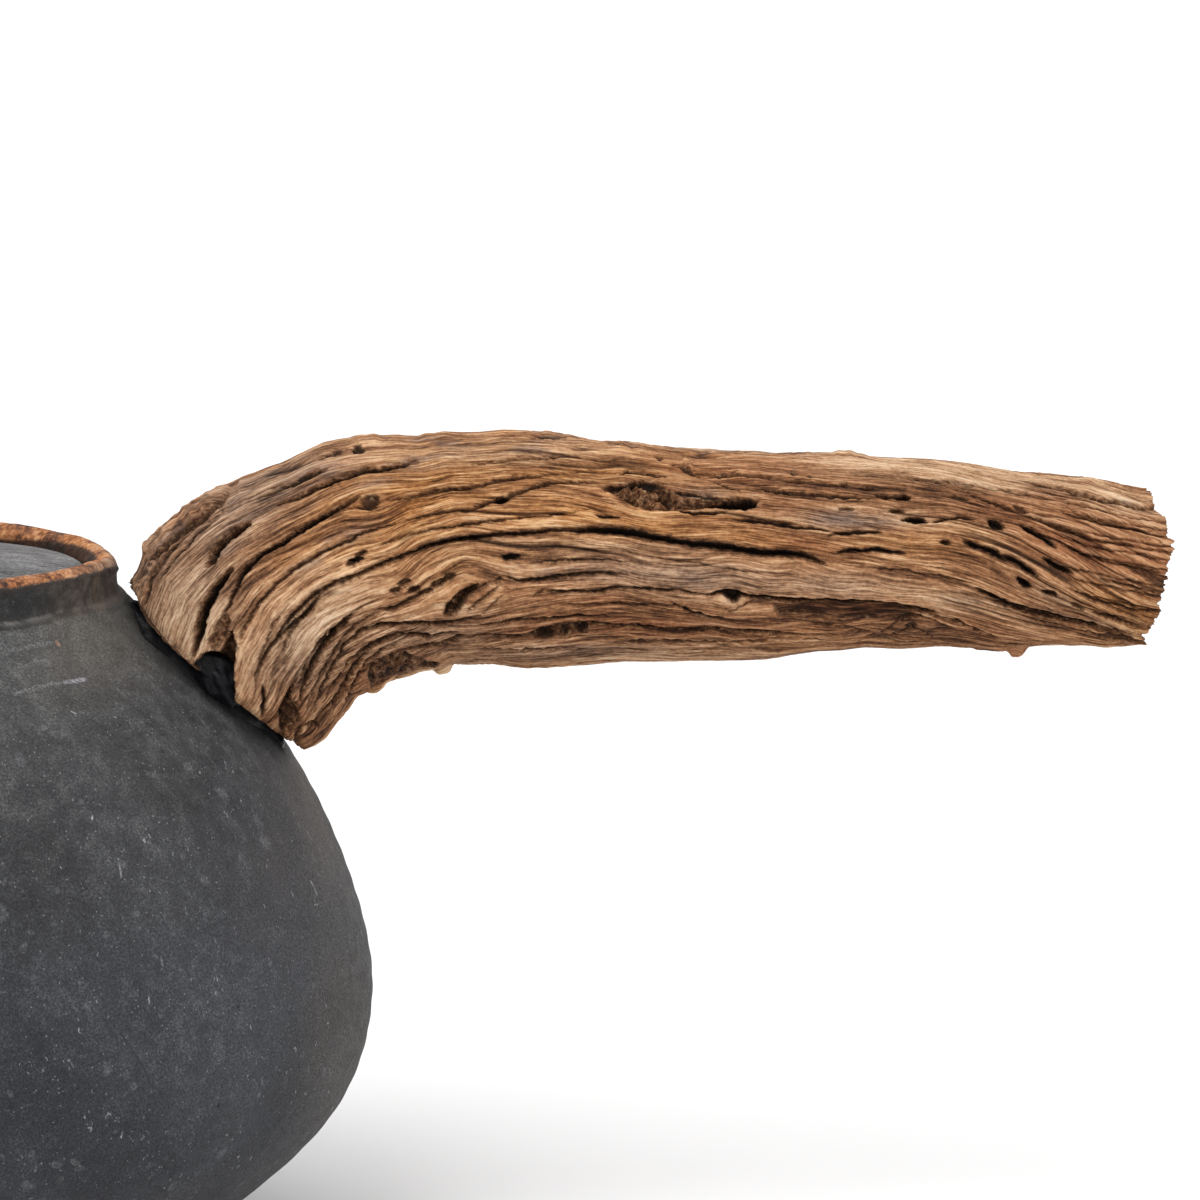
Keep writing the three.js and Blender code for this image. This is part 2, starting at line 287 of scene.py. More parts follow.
# ------------------------------------------------------------------ the pot's outline
OUTER = [
    (35.5, 0), (37.4, 0.7), (39.9, 2.6), (44.2, 6.0), (49.7, 10.65), (54.9, 15.3), (59.0, 20.3), (61.7, 26.3),
    (62.75, 33.2), (62.2, 39.8), (60.6, 46.15), (58.4, 52.3), (55.6, 58.5), (52.0, 64.8), (47.9, 69.9),
    (42.9, 74.55), (38.2, 78.5), (34.4, 81.75), (32.6, 83.7), (31.55, 84.6), (31.25, 86.0), (31.35, 87.5),
    (31.6, 88.6), (31.05, 89.55), (29.9, 89.95), (28.85, 89.5), (28.15, 88.5), (28.0, 87.0),
]
SIDE = spline(OUTER, 14)
SIDE_UP = SIDE[: 22 * 14]  # base up to the widest point of the lip


def pot_distance(p):
    """Distance outside the pot's wall (negative inside), and the outward direction, for points in millimetres."""
    r = np.hypot(p[..., 0], p[..., 1])
    q = np.stack([r, p[..., 2]], -1)
    a, b = SIDE_UP[:-1], SIDE_UP[1:]
    ab = b - a
    best = np.full(r.shape, 1e9)
    near = np.zeros(q.shape)
    side = np.ones(r.shape)
    for k in range(len(a)):
        t = np.clip(((q - a[k]) @ ab[k]) / (ab[k] @ ab[k]), 0, 1)
        c = a[k] + t[..., None] * ab[k]
        d = np.linalg.norm(q - c, axis=-1)
        hit = d < best
        best = np.where(hit, d, best)
        near = np.where(hit[..., None], c, near)
        s = (q[..., 0] - a[k, 0]) * ab[k, 1] - (q[..., 1] - a[k, 1]) * ab[k, 0]
        side = np.where(hit, np.where(s >= 0, 1.0, -1.0), side)
    d = best * side
    g = unit((q - near) * side[..., None])
    out = np.stack([g[..., 0] * p[..., 0] / np.maximum(r, 1e-9), g[..., 0] * p[..., 1] / np.maximum(r, 1e-9), g[..., 1]], -1)
    return d, out


def keep_off_pot(p, clearance):
    """Moves points that are nearer to the pot's wall than clearance straight out to it."""
    flat = p.reshape(-1, 3).copy()
    r = np.hypot(flat[:, 0], flat[:, 1])
    idx = np.nonzero(r < 70)[0]
    for _ in range(3):
        d, g = pot_distance(flat[idx])
        c = clearance if np.isscalar(clearance) else np.broadcast_to(clearance, p.shape[:-1]).reshape(-1)[idx]
        push = np.maximum(c - d, 0)
        flat[idx] += g * push[:, None]
        if push.max(initial=0) < 1e-3:
            break
    return flat.reshape(p.shape)


# ------------------------------------------------------------------ driftwood: the shape
def mm(points):
    p = np.asarray(points, float)
    return np.stack([(p[:, 0] + 133) / 8.0, (1261.5 - p[:, 1]) / 7.904], -1)


TOP = mm([
    (95, 608), (112, 597), (128, 587), (131, 573), (138, 557), (144, 542), (156, 530), (168, 519), (180, 510), (192, 500), (204, 493),
    (216, 487), (228, 483), (240, 477), (252, 473), (264, 468), (276, 464), (288, 459), (300, 453), (312, 447), (324, 442),
    (336, 440), (348, 438), (360, 437), (396, 435), (420, 436), (444, 432), (480, 432), (504, 430), (528, 431), (552, 434),
    (576, 438), (600, 442), (624, 442), (648, 446), (672, 448), (696, 450), (744, 452), (768, 455), (792, 457), (816, 457),
    (840, 457), (864, 457), (900, 460), (936, 461), (972, 466), (996, 470), (1020, 472), (1056, 475), (1080, 477), (1104, 482),
    (1128, 486), (1148, 490),
])
BOTTOM = mm([
    (296, 747), (304, 744), (313, 741), (324, 734), (336, 720), (348, 706), (360, 692), (372, 687), (384, 681), (396, 677), (420, 671),
    (444, 667), (456, 663), (480, 663), (504, 665), (528, 668), (552, 667), (576, 665), (600, 663), (624, 661), (672, 661),
    (696, 660), (744, 659), (768, 658), (792, 654), (816, 651), (840, 650), (864, 647), (900, 648), (936, 646), (972, 648),
    (996, 650), (1032, 649), (1056, 647), (1080, 646), (1104, 646), (1128, 643), (1141, 642),
])
PAIRS = [  # top X, top Z, bottom X, bottom Z, half depth
    (28.5, 82.6, 53.6, 65.1, 12.6), (32.9, 85.8, 56.4, 66.0, 13.4), (34.2, 90.0, 58.6, 68.8, 13.9), (36.8, 93.2, 60.1, 71.1, 14.2),
    (40.5, 96.2, 61.7, 72.3, 14.4), (45.2, 98.5, 63.5, 72.9, 14.5), (50.2, 100.7, 65.7, 73.7, 14.4), (55.7, 102.9, 68.2, 74.4, 14.2),
    (60.4, 104.2, 70.7, 74.8, 14.0), (66.1, 104.6, 73.9, 75.6, 13.8), (71.7, 104.9, 77.5, 75.6, 13.6), (77.9, 105.1, 81.6, 75.3, 13.4),
    (83.5, 105.0, 85.8, 75.3, 13.3), (90.4, 103.9, 91.0, 75.7, 13.2), (97.0, 103.2, 97.0, 76.0, 13.0), (104.1, 102.7, 104.1, 76.1, 12.8),
    (111.6, 102.4, 111.6, 76.4, 12.5), (119.1, 102.3, 119.1, 77.2, 12.2), (126.6, 101.6, 126.6, 77.7, 11.9), (134.1, 101.2, 134.1, 77.9, 11.6),
    (141.6, 100.1, 141.6, 77.6, 11.3), (149.1, 99.4, 149.1, 77.8, 10.9), (155.4, 98.4, 155.4, 78.0, 10.5), (160.1, 97.6, 159.3, 78.4, 10.0),
]
END = [  # how far the broken end stands out of its plane, by height: fraction from the top, millimetres
    (0.0, 0.0), (0.06, 0.3), (0.10, 1.1), (0.145, 2.0), (0.20, 2.4), (0.243, 1.8), (0.27, 2.9), (0.30, 3.3), (0.395, 3.0), (0.487, 2.5), (0.56, 2.3),
    (0.61, 2.1), (0.645, 1.5), (0.70, 1.9), (0.763, 1.1), (0.83, 0.6), (0.875, -0.5), (0.934, 0.3), (1.0, -0.1),
]
MAIN_CRACK = [
    (255, 675), (267, 650), (281, 631), (294, 613), (315, 594), (336, 581), (368, 569), (395, 558), (425, 546), (455, 539), (493, 535),
    (532, 532), (564, 529), (578, 530), (601, 529), (631, 532), (660, 538), (693, 543), (720, 546), (761, 552), (800, 554), (826, 563),
]
GRAIN_LINE = MAIN_CRACK + [(900, 574), (960, 585), (1010, 602), (1048, 616), (1081, 624), (1112, 634), (1137, 639)]

STUB_ROOT = np.array([44.1, 0, 75.7])
STUB_AXIS = np.array([math.cos(math.radians(48.8)), 0, math.sin(math.radians(48.8))])
STUB_CROSS = np.array([-STUB_AXIS[2], 0, STUB_AXIS[0]])


def nearest_s(line, point):
    a, b = line[:-1], line[1:]
    ab = b - a
    t = np.clip(((point - a) * ab).sum(1) / (ab * ab).sum(1), 0, 1)
    c = a + t[:, None] * ab
    k = np.argmin(np.linalg.norm(point - c, axis=1))
    return along(line)[k] + t[k] * np.linalg.norm(ab[k])


NS, NT = ((560, 450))
pairs = np.array(PAIRS)
st = np.maximum.accumulate([nearest_s(TOP, p[:2]) for p in pairs])
sb = np.maximum.accumulate([nearest_s(BOTTOM, p[2:4]) for p in pairs])
st[-1], sb[-1] = along(TOP)[-1], along(BOTTOM)[-1]
st[0] = sb[0] = 0.0
mean = (st + sb) / 2
dense = np.linspace(0, len(pairs) - 1, 4000)
ref_t = np.interp(dense, np.arange(len(pairs)), st)
ref_b = np.interp(dense, np.arange(len(pairs)), sb)
kernel = np.hanning(301)
kernel /= kernel.sum()


def soften(v):
    pad = len(kernel) // 2
    ext = np.concatenate([2 * v[0] - v[pad:0:-1], v, 2 * v[-1] - v[-2 : -pad - 2 : -1]])
    return np.convolve(ext, kernel, "valid")


ref_t, ref_b = soften(ref_t), soften(ref_b)
ref_d = soften(np.interp(dense, np.arange(len(pairs)), pairs[:, 4]))
ref_s = (ref_t + ref_b) / 2
LENGTH = ref_s[-1]
s_line = np.linspace(0, LENGTH, NS)
u = np.interp(s_line, ref_s, np.arange(4000))
tt = at(TOP, np.interp(u, np.arange(4000), ref_t))
bb = at(BOTTOM, np.interp(u, np.arange(4000), ref_b))
depth = np.interp(u, np.arange(4000), ref_d)

# Angles round the section run from the top over the front (-Y) to the bottom and back; the front has more of them.
raw = np.linspace(0, 1, NT, endpoint=False)
warp = np.linspace(0, 2 * math.pi, 4001)
density = 1 + 0.42 * np.sin(warp)
cum = np.concatenate([[0], np.cumsum((density[1:] + density[:-1]) / 2)])
theta_line = np.interp(raw, cum / cum[-1], warp)
S, T = np.meshgrid(s_line, theta_line, indexing="ij")
power = 2 / 2.25
ct = np.sign(np.cos(T)) * np.abs(np.cos(T)) ** power
sn = np.sign(np.sin(T)) * np.abs(np.sin(T)) ** power
centre = (tt + bb) / 2
half = (tt - bb) / 2
base = np.zeros((NS, NT, 3))
base[..., 0] = centre[:, None, 0] + half[:, None, 0] * ct
base[..., 2] = centre[:, None, 1] + half[:, None, 1] * ct
base[..., 1] = -depth[:, None] * sn


def normals(p):
    ds = np.gradient(p, axis=0)
    dt = (np.roll(p, -1, 1) - np.roll(p, 1, 1)) / 2
    return unit(np.cross(ds, dt))


N0 = normals(base)
mid = base.mean(1, keepdims=True)
if ((base - mid) * N0).sum(-1).mean() < 0:
    N0 = -N0
PX, PY = project(base)
FACING = -(N0 @ VIEW)
FRONT = smooth(FACING, 0.02, 0.22)
PXR = 8.0  # image pixels to a millimetre


def grid_at(points):
    """Station and angle of the front surface under image points."""
    out = []
    for x, y in points:
        d = (PX - x) ** 2 + (PY - y) ** 2 + np.where(FACING > 0, 0, 1e6)
        k = np.unravel_index(np.argmin(d), d.shape)
        out.append((S[k], T[k]))
    return np.array(out)


ref = grid_at(GRAIN_LINE)
order = ref[:, 0].argsort()
line_t = np.interp(s_line, ref[order, 0], ref[order, 1])
pad = np.concatenate([np.full(20, line_t[0]), line_t, np.full(20, line_t[-1])])
line_t = np.convolve(pad, np.hanning(41) / np.hanning(41).sum(), "same")[20:-20]
turn = (line_t - 1.55)[:, None]
PHI = T - turn * (0.7 + 0.3 * np.cos(T - 2.4))

RADIUS = 13.4
wave_a, wave_b = Noise(11), Noise(12)
PHI = PHI + 0.06 * wave_a(np.cos(T) * 1.4, np.sin(T) * 1.4, S / 18.0) + 0.014 * wave_b(np.cos(T) * 4, np.sin(T) * 4, S / 6.0)

# knots push the grain apart: image x, y, reach across and along in millimetres
KNOTS = [(369, 500, 1.5, 3.0), (470, 592, 2.2, 5.0), (912, 628, 1.6, 4.0), (640, 498, 2.0, 6.0), (732, 600, 1.4, 4.0)]
for x, y, across, length in KNOTS:
    s0, t0 = grid_at([(x, y)])[0]
    i0, j0 = np.argmin(abs(s_line - s0)), np.argmin(abs(theta_line - t0))
    dphi = (PHI - PHI[i0, j0] + math.pi) % (2 * math.pi) - math.pi
    q = dphi * RADIUS / across
    PHI = PHI + np.where(abs(q) < 6, -0.55 * across / RADIUS * q / (1 + q * q) * 2 * np.exp(-(((S - s0) / length) ** 2)), 0)

GX, GY, GZ = RADIUS * np.cos(PHI), RADIUS * np.sin(PHI), S
noises = [Noise(100 + k) for k in range(24)]


def grain(k, across, length, shift=0.0):
    """Noise stretched along the grain: size across and along it in millimetres."""
    return noises[k](GX / across + shift, GY / across - shift, GZ / length + shift * 0.37)


D = np.zeros((NS, NT))  # how deep the surface lies under the base shape, millimetres
DARK = np.zeros((NS, NT))  # dirt and shade in cracks and holes, 0 to 1

# broad lobes and flutes
D += 0.50 * grain(0, 13, 55) + 0.30 * grain(1, 7, 40)
# splits follow the zero lines of the stretched noise, so they branch and join like real ones
own = 1 - 0.6 * FRONT
c1 = np.exp(-((grain(2, 9.5, 75) / 0.045) ** 2)) * smooth(grain(3, 16, 22), -0.25, 0.25)
D += own * 1.5 * c1
DARK = np.maximum(DARK, own * c1)
c2 = np.exp(-((grain(4, 4.6, 46) / 0.05) ** 2)) * smooth(grain(5, 9, 13), -0.2, 0.35)
D += 0.62 * c2 * (1 - 0.35 * FRONT)
DARK = np.maximum(DARK, 0.8 * c2)
c3 = np.exp(-((grain(6, 2.1, 24) / 0.075) ** 2)) * smooth(grain(7, 5, 8), -0.3, 0.4)
D += 0.28 * c3
DARK = np.maximum(DARK, 0.6 * c3)
# the yearly layers, worn back as overlapping steps
STREAK = np.zeros((NS, NT))
for count, height, seed, wander, across, length, shade in (
    (30, 0.26, 8, 1.3, 8, 30, 0.40), (74, 0.15, 10, 1.2, 4, 18, 0.42), (150, 0.10, 12, 1.2, 2.2, 12, 0.40), (250, 0.06, 22, 1.2, 1.3, 9, 0.34)
):
    t = count * PHI / (2 * math.pi) + wander * grain(seed, across, length)
    f = t - np.floor(t)
    step = np.where(f < 0.82, f / 0.82, (1 - f) / 0.18)
    step = step * step * (3 - 2 * step)
    amount = smooth(grain(seed + 1, across * 0.75, length * 0.6), -0.45, 0.4)
    D += height * amount * (1 - step)
    DARK = np.maximum(DARK, shade * amount * smooth(1 - step, 0.70, 1.0))
    if count > 60:
        STREAK += (0.5 - step) * amount * (0.5 if count < 100 else 0.6)
D += 0.09 * grain(14, 1.1, 9) + 0.07 * grain(15, 0.5, 5)
CRUMB = np.zeros((NS, NT))


def oval(x, y, rx, ry, ang):
    a = math.radians(ang)
    dx, dy = PX - x, PY - y
    return np.exp(-(((dx * math.cos(a) + dy * math.sin(a)) / rx) ** 4) - ((-dx * math.sin(a) + dy * math.cos(a)) / ry) ** 4)


calm = FRONT * np.max([oval(168, 612, 52, 30, -58), oval(262, 660, 40, 22, -62), oval(238, 545, 30, 12, -45), oval(620, 572, 70, 14, 3), oval(860, 585, 80, 16, 6), oval(540, 606, 50, 9, 0)], axis=0)
D *= 1 - 0.55 * calm
DARK *= 1 - 0.6 * calm
bark = smooth(FACING, -0.15, 0.02) * np.max([oval(185, 508, 62, 20, -42), oval(146, 572, 12, 34, 22)], axis=0)
DARK = np.maximum(DARK, bark * 0.62 * smooth(noises[20](PX / 8, PY / 4, 2.4), -0.15, 0.35))
SLANT = (PX - PY) / 1.414, (PX + PY) / 1.414
D += bark * (0.34 * noises[20](SLANT[0] / 16, SLANT[1] / 4.5, 0.4) + 0.20 * noises[21](SLANT[0] / 9, SLANT[1] / 2.4, 1.4))

# ---- what the photograph shows on the front ----
wob = Noise(31)
SX = PX + 1.4 * wob(PX / 19, PY / 11, 0.3) + 1.2 * wob(PX / 5, PY / 4, 4.3)
SY = PY + 1.2 * wob(PX / 17, PY / 9, 7.7) + 1.2 * wob(PX / 6, PY / 4, 9.1)


RAGGED = noises[20](PX / 2.2, PY / 1.6, 0.7)


def groove(points, width, deep, dark=1.0, lip=0.0, power=1.4, taper=0.25):
    """A split along image points: width in image pixels, depth and the raised upper lip in millimetres."""
    global D, DARK
    p = np.asarray(points, float)
    reach = width * 2 + (28 if lip else 4)
    box = (PX > p[:, 0].min() - reach) & (PX < p[:, 0].max() + reach) & (PY > p[:, 1].min() - reach) & (PY < p[:, 1].max() + reach) & (FRONT > 0.01)
    if not box.any():
        return
    q = np.stack([SX[box], SY[box]], -1)
    a, b = p[:-1], p[1:]
    ab = b - a
    cum = along(p)
    best = np.full(len(q), 1e9)
    where = np.zeros(len(q))
    sign = np.zeros(len(q))
    for k in range(len(a)):
        t = np.clip(((q - a[k]) @ ab[k]) / (ab[k] @ ab[k]), 0, 1)
        c = a[k] + t[:, None] * ab[k]
        d = np.linalg.norm(q - c, axis=1)
        hit = d < best
        best = np.where(hit, d, best)
        where = np.where(hit, cum[k] + t * np.linalg.norm(ab[k]), where)
        cross = ab[k, 0] * (q[:, 1] - a[k, 1]) - ab[k, 1] * (q[:, 0] - a[k, 0])
        sign = np.where(hit, np.where(cross > 0, 1.0, -1.0), sign)
    t = where / cum[-1]
    ends = np.clip(np.minimum(t, 1 - t) / taper, 0, 1) ** 0.6
    w = width * 0.85 * (0.35 + 0.65 * ends)
    shape = np.clip(1 - best / w, 0, 1) ** power
    val = deep * shape * (0.3 + 0.7 * ends)
    if lip:
        # the piece above the split (smaller y) stands proud and the one below sinks, or the reverse for a negative lip
        fade = np.exp(-best / 8.0) * ends
        val = val + np.where(sign < 0, -0.42 * lip * fade, 0.42 * lip * fade)
    f = FRONT[box]
    D[box] += val * f
    DARK[box] = np.maximum(DARK[box], dark * smooth(shape, 0.12, 0.72) * ends**0.5 * f)


def hollow(x, y, rx, ry, angle, deep, dark=1.0, edge=0.5, rough=0.0):
    """An oval hole or dent: image centre, half sizes in image pixels, degrees clockwise, depth in millimetres."""
    global D, DARK
    a = math.radians(angle)
    dx, dy = SX - x, SY - y
    q = (abs((dx * math.cos(a) + dy * math.sin(a)) / rx) ** 1.7 + abs((-dx * math.sin(a) + dy * math.cos(a)) / ry) ** 2.0) ** (1 / 1.85) + 0.16 * RAGGED
    m = (1 - smooth(q, 1 - 0.7 * edge, 1 + edge * 0.25)) * FRONT
    r = 0
    if rough:
        r = rough * noises[20](PX / 5.0, PY / 5.0, x * 0.1)
    D += m * (deep + r)
    DARK = np.maximum(DARK, (1 - smooth(q, 0.85, 1.15)) * FRONT * dark)


def area(points, deep, dark=0.6, soft=4.0, rough=0.0, cell=6.0):
    """A worn hollow with an outline of image points."""
    global D, DARK, CRUMB
    p = np.asarray(points, float)
    b = 14
    box = (PX > p[:, 0].min() - b) & (PX < p[:, 0].max() + b) & (PY > p[:, 1].min() - b) & (PY < p[:, 1].max() + b) & (FRONT > 0.01)
    x, y = SX[box], SY[box]
    inside = np.zeros(x.shape, bool)
    dist = np.full(x.shape, 1e9)
    for (x0, y0), (x1, y1) in zip(p, np.roll(p, -1, 0)):
        cond = (y0 > y) != (y1 > y)
        with np.errstate(divide="ignore", invalid="ignore"):
            xi = (x1 - x0) * (y - y0) / (y1 - y0 + 1e-12) + x0
        inside ^= cond & (x < xi)
        e = np.array([x1 - x0, y1 - y0])
        t = np.clip(((x - x0) * e[0] + (y - y0) * e[1]) / (e @ e), 0, 1)
        dist = np.minimum(dist, np.hypot(x - x0 - t * e[0], y - y0 - t * e[1]))
    sd = np.where(inside, dist, -dist)
    m = smooth(sd, -soft * 0.2, soft * 0.65) * FRONT[box]
    shade_in = smooth(sd, -soft * 0.45, soft * 0.15) * FRONT[box]
    r = rough * noises[21](PX[box] / cell, PY[box] / cell, 0.5) + rough * 0.5 * noises[22](PX[box] / (cell * 0.45), PY[box] / (cell * 0.45), 0.9) if rough else 0
    D[box] += m * (deep + r)
    if rough:
        CRUMB[box] = np.maximum(CRUMB[box], m * min(1.0, rough * 1.4))
        dark = dark * (0.55 + 0.45 * smooth(r, -0.3 * rough, 0.5 * rough))
    DARK[box] = np.maximum(DARK[box], shade_in * dark)


# root
area([(184, 676), (193, 667), (202, 654), (210, 650), (220, 653), (225, 644), (231, 632), (236, 646), (234, 668), (235, 694), (228, 722), (184, 712)], 4.8, 0.7, 3.0, 0.3, 5)
area([(208, 640), (216, 622), (228, 612), (231, 622), (226, 640), (214, 650)], 1.0, 0.45, 4, 0.6, 4)
groove([(145, 562), (175, 530), (212, 505), (228, 489)], 5, 0.9, 0.7, lip=0.9)
groove([(142, 608), (149, 585), (158, 562)], 4, 0.8, 0.8, lip=0.4)
area([(144, 566), (160, 542), (184, 520), (212, 498), (229, 487), (224, 500), (206, 516), (186, 536), (170, 556), (156, 574)], 0.35, 0.5, 5, 0.22, 6)
groove([(150, 574), (166, 550), (190, 524), (216, 500)], 2.8, 0.6, 0.7, lip=0.3)
groove([(158, 582), (174, 558), (196, 532), (222, 506)], 2.8, 0.6, 0.7, lip=0.3)
groove([(138, 560), (152, 540), (172, 518), (200, 496)], 2.4, 0.5, 0.6, lip=0.25)
groove([(208, 567), (216, 549), (230, 535), (249, 523)], 7, 2.6, 1.0, power=0.9)
groove([(194, 655), (199, 632), (206, 606), (216, 588), (232, 568)], 6, 2.4, 1.0, lip=0.8, power=1.0)
groove([(223, 616), (232, 600), (242, 574), (262, 553), (281, 544), (304, 528), (340, 507), (361, 496)], 4.6, 1.7, 1.0, lip=0.45)
groove([(276, 505), (300, 496), (317, 487), (340, 477), (366, 467), (391, 464), (418, 459)], 4.6, 1.5, 0.95, lip=0.6)
groove([(255, 496), (281, 484), (311, 473), (327, 466)], 4, 0.9, 0.8, lip=0.4)
groove([(313, 457), (331, 450), (347, 445)], 3, 0.6, 0.8, lip=0.25)
hollow(357, 447, 6, 4, 0, 0.8, 0.9)
groove(MAIN_CRACK[:11], 3.8, 1.3, 0.75, lip=0.7, taper=0.1)
groove(MAIN_CRACK[8:14], 4.6, 1.6, 0.85, lip=0.6, taper=0.3)
groove(MAIN_CRACK[12:], 7.6, 2.5, 1.0, lip=1.1, taper=0.16)
groove([(278, 638), (290, 627), (308, 611), (320, 597)], 4, 1.2, 0.9)
groove([(236, 655), (244, 630), (258, 604), (276, 584), (300, 566), (330, 548), (366, 532), (410, 520)], 3.4, 0.9, 0.7, lip=0.35)
groove([(300, 700), (306, 676), (318, 652), (336, 628), (352, 614)], 5, 1.4, 0.85, lip=0.5)
groove([(262, 716), (264, 700), (262, 684)], 4, 1.1, 0.9)
groove([(283, 735), (282, 712), (291, 690)], 7, 2.2, 0.9)
area([(280, 705), (296, 700), (300, 722), (292, 734), (282, 728)], 1.6, 0.7, 5, 0.4)
groove([(330, 712), (340, 690), (352, 668), (366, 652)], 4.5, 1.3, 0.8, lip=0.4)
groove([(312, 716), (318, 694), (330, 668), (344, 646), (360, 630), (384, 618)], 3.2, 0.8, 0.65, lip=0.35)
groove([(344, 704), (352, 684), (364, 664), (380, 650), (400, 642)], 3.2, 0.8, 0.7, lip=0.3)
groove([(292, 742), (300, 728), (312, 722), (322, 728)], 4.0, 1.0, 0.8)
groove([(322, 702), (334, 680), (348, 660), (366, 644), (392, 632), (430, 626)], 2.4, 0.6, 0.55, lip=0.3)
groove([(306, 708), (314, 686), (326, 662), (340, 640), (356, 624), (380, 611), (410, 606)], 2.4, 0.6, 0.5, lip=0.25)
groove([(350, 690), (360, 674), (374, 660), (396, 651), (430, 648), (470, 646)], 2.4, 0.6, 0.55, lip=0.3)
groove([(268, 690), (274, 668), (286, 640), (304, 612), (326, 590), (356, 574), (390, 566)], 2.4, 0.55, 0.45, lip=0.25)
groove([(312, 668), (326, 642), (346, 616), (372, 600), (400, 596)], 2.2, 0.5, 0.4, lip=0.2)
groove([(296, 690), (304, 668), (316, 646), (332, 624)], 2.6, 0.6, 0.5, lip=0.25)
groove([(254, 698), (256, 676), (262, 650), (272, 626), (290, 604)], 2.6, 0.6, 0.5, lip=0.25)
hollow(356, 560, 7, 2.6, -14, 0.8, 0.9)
for x, y, rx, ry, a in (
    (353, 562, 7, 3, -30), (361, 554, 7, 3, -30), (404, 582, 7, 3.2, -20), (414, 590, 7, 3.4, -20), (426, 592, 8, 3.4, -20), (438, 583, 8, 3.4, -25), (449, 577, 8, 3.2, -25),
    (396, 590, 6, 2.8, -20), (333, 631, 6, 3, -45), (345, 622, 6, 3, -45), (322, 640, 6, 3, -50),
):
    hollow(x, y, rx, ry, a, 0.8, 0.6)
# the knot and the long layers over the bend
hollow(370, 501, 10, 8, -15, 0.55, 0.75, 0.6, 0.5)
hollow(371, 501, 5.5, 4.5, 0, -1.0, 0.0, 0.8, 0.5)
groove([(352, 505), (360, 508), (372, 509), (382, 505)], 3.0, 0.6, 0.8)
groove([(386, 500), (412, 496), (440, 489), (470, 487), (495, 480), (527, 475), (559, 472), (569, 469)], 3.4, 0.8, 0.62, lip=0.4)
groove([(398, 521), (420, 517), (440, 512), (470, 510), (497, 500), (520, 492), (550, 482), (601, 480)], 3.4, 0.8, 0.62, lip=0.4)
groove([(380, 545), (420, 532), (470, 523), (530, 517), (590, 510)], 3, 0.7, 0.6, lip=0.3)
hollow(502, 500, 8, 3.5, -18, 1.2, 1.0)
groove([(373, 610), (395, 607), (414, 598), (430, 592)], 3.6, 0.9, 0.75, lip=0.3)
groove([(352, 640), (359, 633), (382, 624), (418, 622), (451, 624), (480, 615)], 4.6, 1.3, 0.9, lip=0.6)
groove([(350, 660), (372, 644), (398, 634), (430, 636), (461, 632)], 4.4, 1.2, 0.85, lip=0.5)
groove([(378, 664), (400, 650), (440, 645), (461, 638), (486, 637), (530, 639)], 5, 1.4, 0.95, lip=0.6)
area([(366, 668), (382, 655), (405, 652), (424, 660), (440, 664), (430, 672), (398, 684), (372, 694)], 0.9, 0.95, 5, 0.7, 6)
# middle
groove([(619, 470), (630, 468), (648, 470), (667, 473)], 4.4, 1.4, 1.0)
groove([(569, 470), (590, 468), (619, 469)], 2.6, 0.5, 0.6)
area([(601, 488), (610, 483), (622, 484), (635, 480), (652, 483), (668, 487), (673, 498), (671, 511), (652, 511), (635, 506), (620, 497)], 0.9, 0.2, 3.0, 1.1, 7.0)
groove([(602, 487), (612, 483), (624, 484), (636, 480), (652, 482), (668, 486)], 3.6, 1.3, 1.0, power=1.0)
hollow(665, 495, 8, 8, 15, 1.0, 0.6)
hollow(629, 493, 8, 6, 20, -1.1, 0.0, 0.7, 0.5)
area([(666, 490), (682, 492), (700, 496), (722, 499), (722, 507), (700, 509), (668, 509)], 1.3, 0.5, 3.0, 0.7, 5.0)
groove([(668, 489), (690, 493), (712, 497), (726, 499)], 3.0, 0.9, 0.9)
area([(724, 500), (732, 498), (748, 499), (757, 502), (756, 507), (744, 510), (730, 510), (718, 508)], 3.4, 1.0, 2.0)
groove([(676, 506), (696, 507), (712, 503), (728, 500), (742, 498)], 4, 1.6, 1.0)
groove([(672, 509), (690, 513), (711, 514), (728, 511)], 3.4, 1.0, 0.9)
groove([(725, 519), (745, 520), (761, 522), (800, 527), (830, 531)], 3.6, 0.9, 0.85, lip=0.4)
groove([(594, 516), (607, 517), (621, 519)], 3.2, 0.9, 0.95)
area([(500, 556), (508, 553), (518, 553), (521, 557), (512, 560), (503, 560)], 1.1, 0.95, 2.2)
groove([(532, 563), (560, 560), (601, 559), (635, 562)], 2.4, 0.6, 0.8)
groove([(504, 576), (520, 580), (548, 578), (571, 574), (600, 572), (631, 574)], 4.0, 1.1, 0.8, lip=0.5)
groove([(532, 596), (543, 590), (570, 591), (596, 591), (617, 586), (647, 588), (680, 590), (706, 594)], 3.8, 1.0, 0.8, lip=0.5)
groove([(706, 595), (720, 592), (735, 591), (750, 595)], 3.6, 1.3, 1.0)
area([(722, 594), (731, 590), (742, 592), (739, 598), (731, 601)], 1.8, 1.0, 2.0)
area([(720, 609), (728, 602), (742, 600), (745, 605), (736, 611), (726, 614)], -0.2, 0.0, 5, 0.3, 4)
groove([(727, 612), (740, 606), (754, 600)], 2.2, 0.5, 0.7)
groove([(672, 602), (690, 611), (702, 614), (712, 617), (724, 616)], 3.6, 1.0, 0.9, lip=0.4)
groove([(741, 594), (757, 596), (773, 598), (800, 600), (831, 602)], 5.0, 1.6, 1.0, lip=0.7)
area([(443, 614), (446, 604), (455, 595), (466, 588), (478, 583), (476, 590), (468, 597), (462, 605), (453, 614)], 2.1, 0.85, 3, 0.5, 5)
area([(460, 610), (472, 596), (486, 583), (498, 577), (506, 584), (502, 597), (488, 610)], -0.5, 0.0, 7)
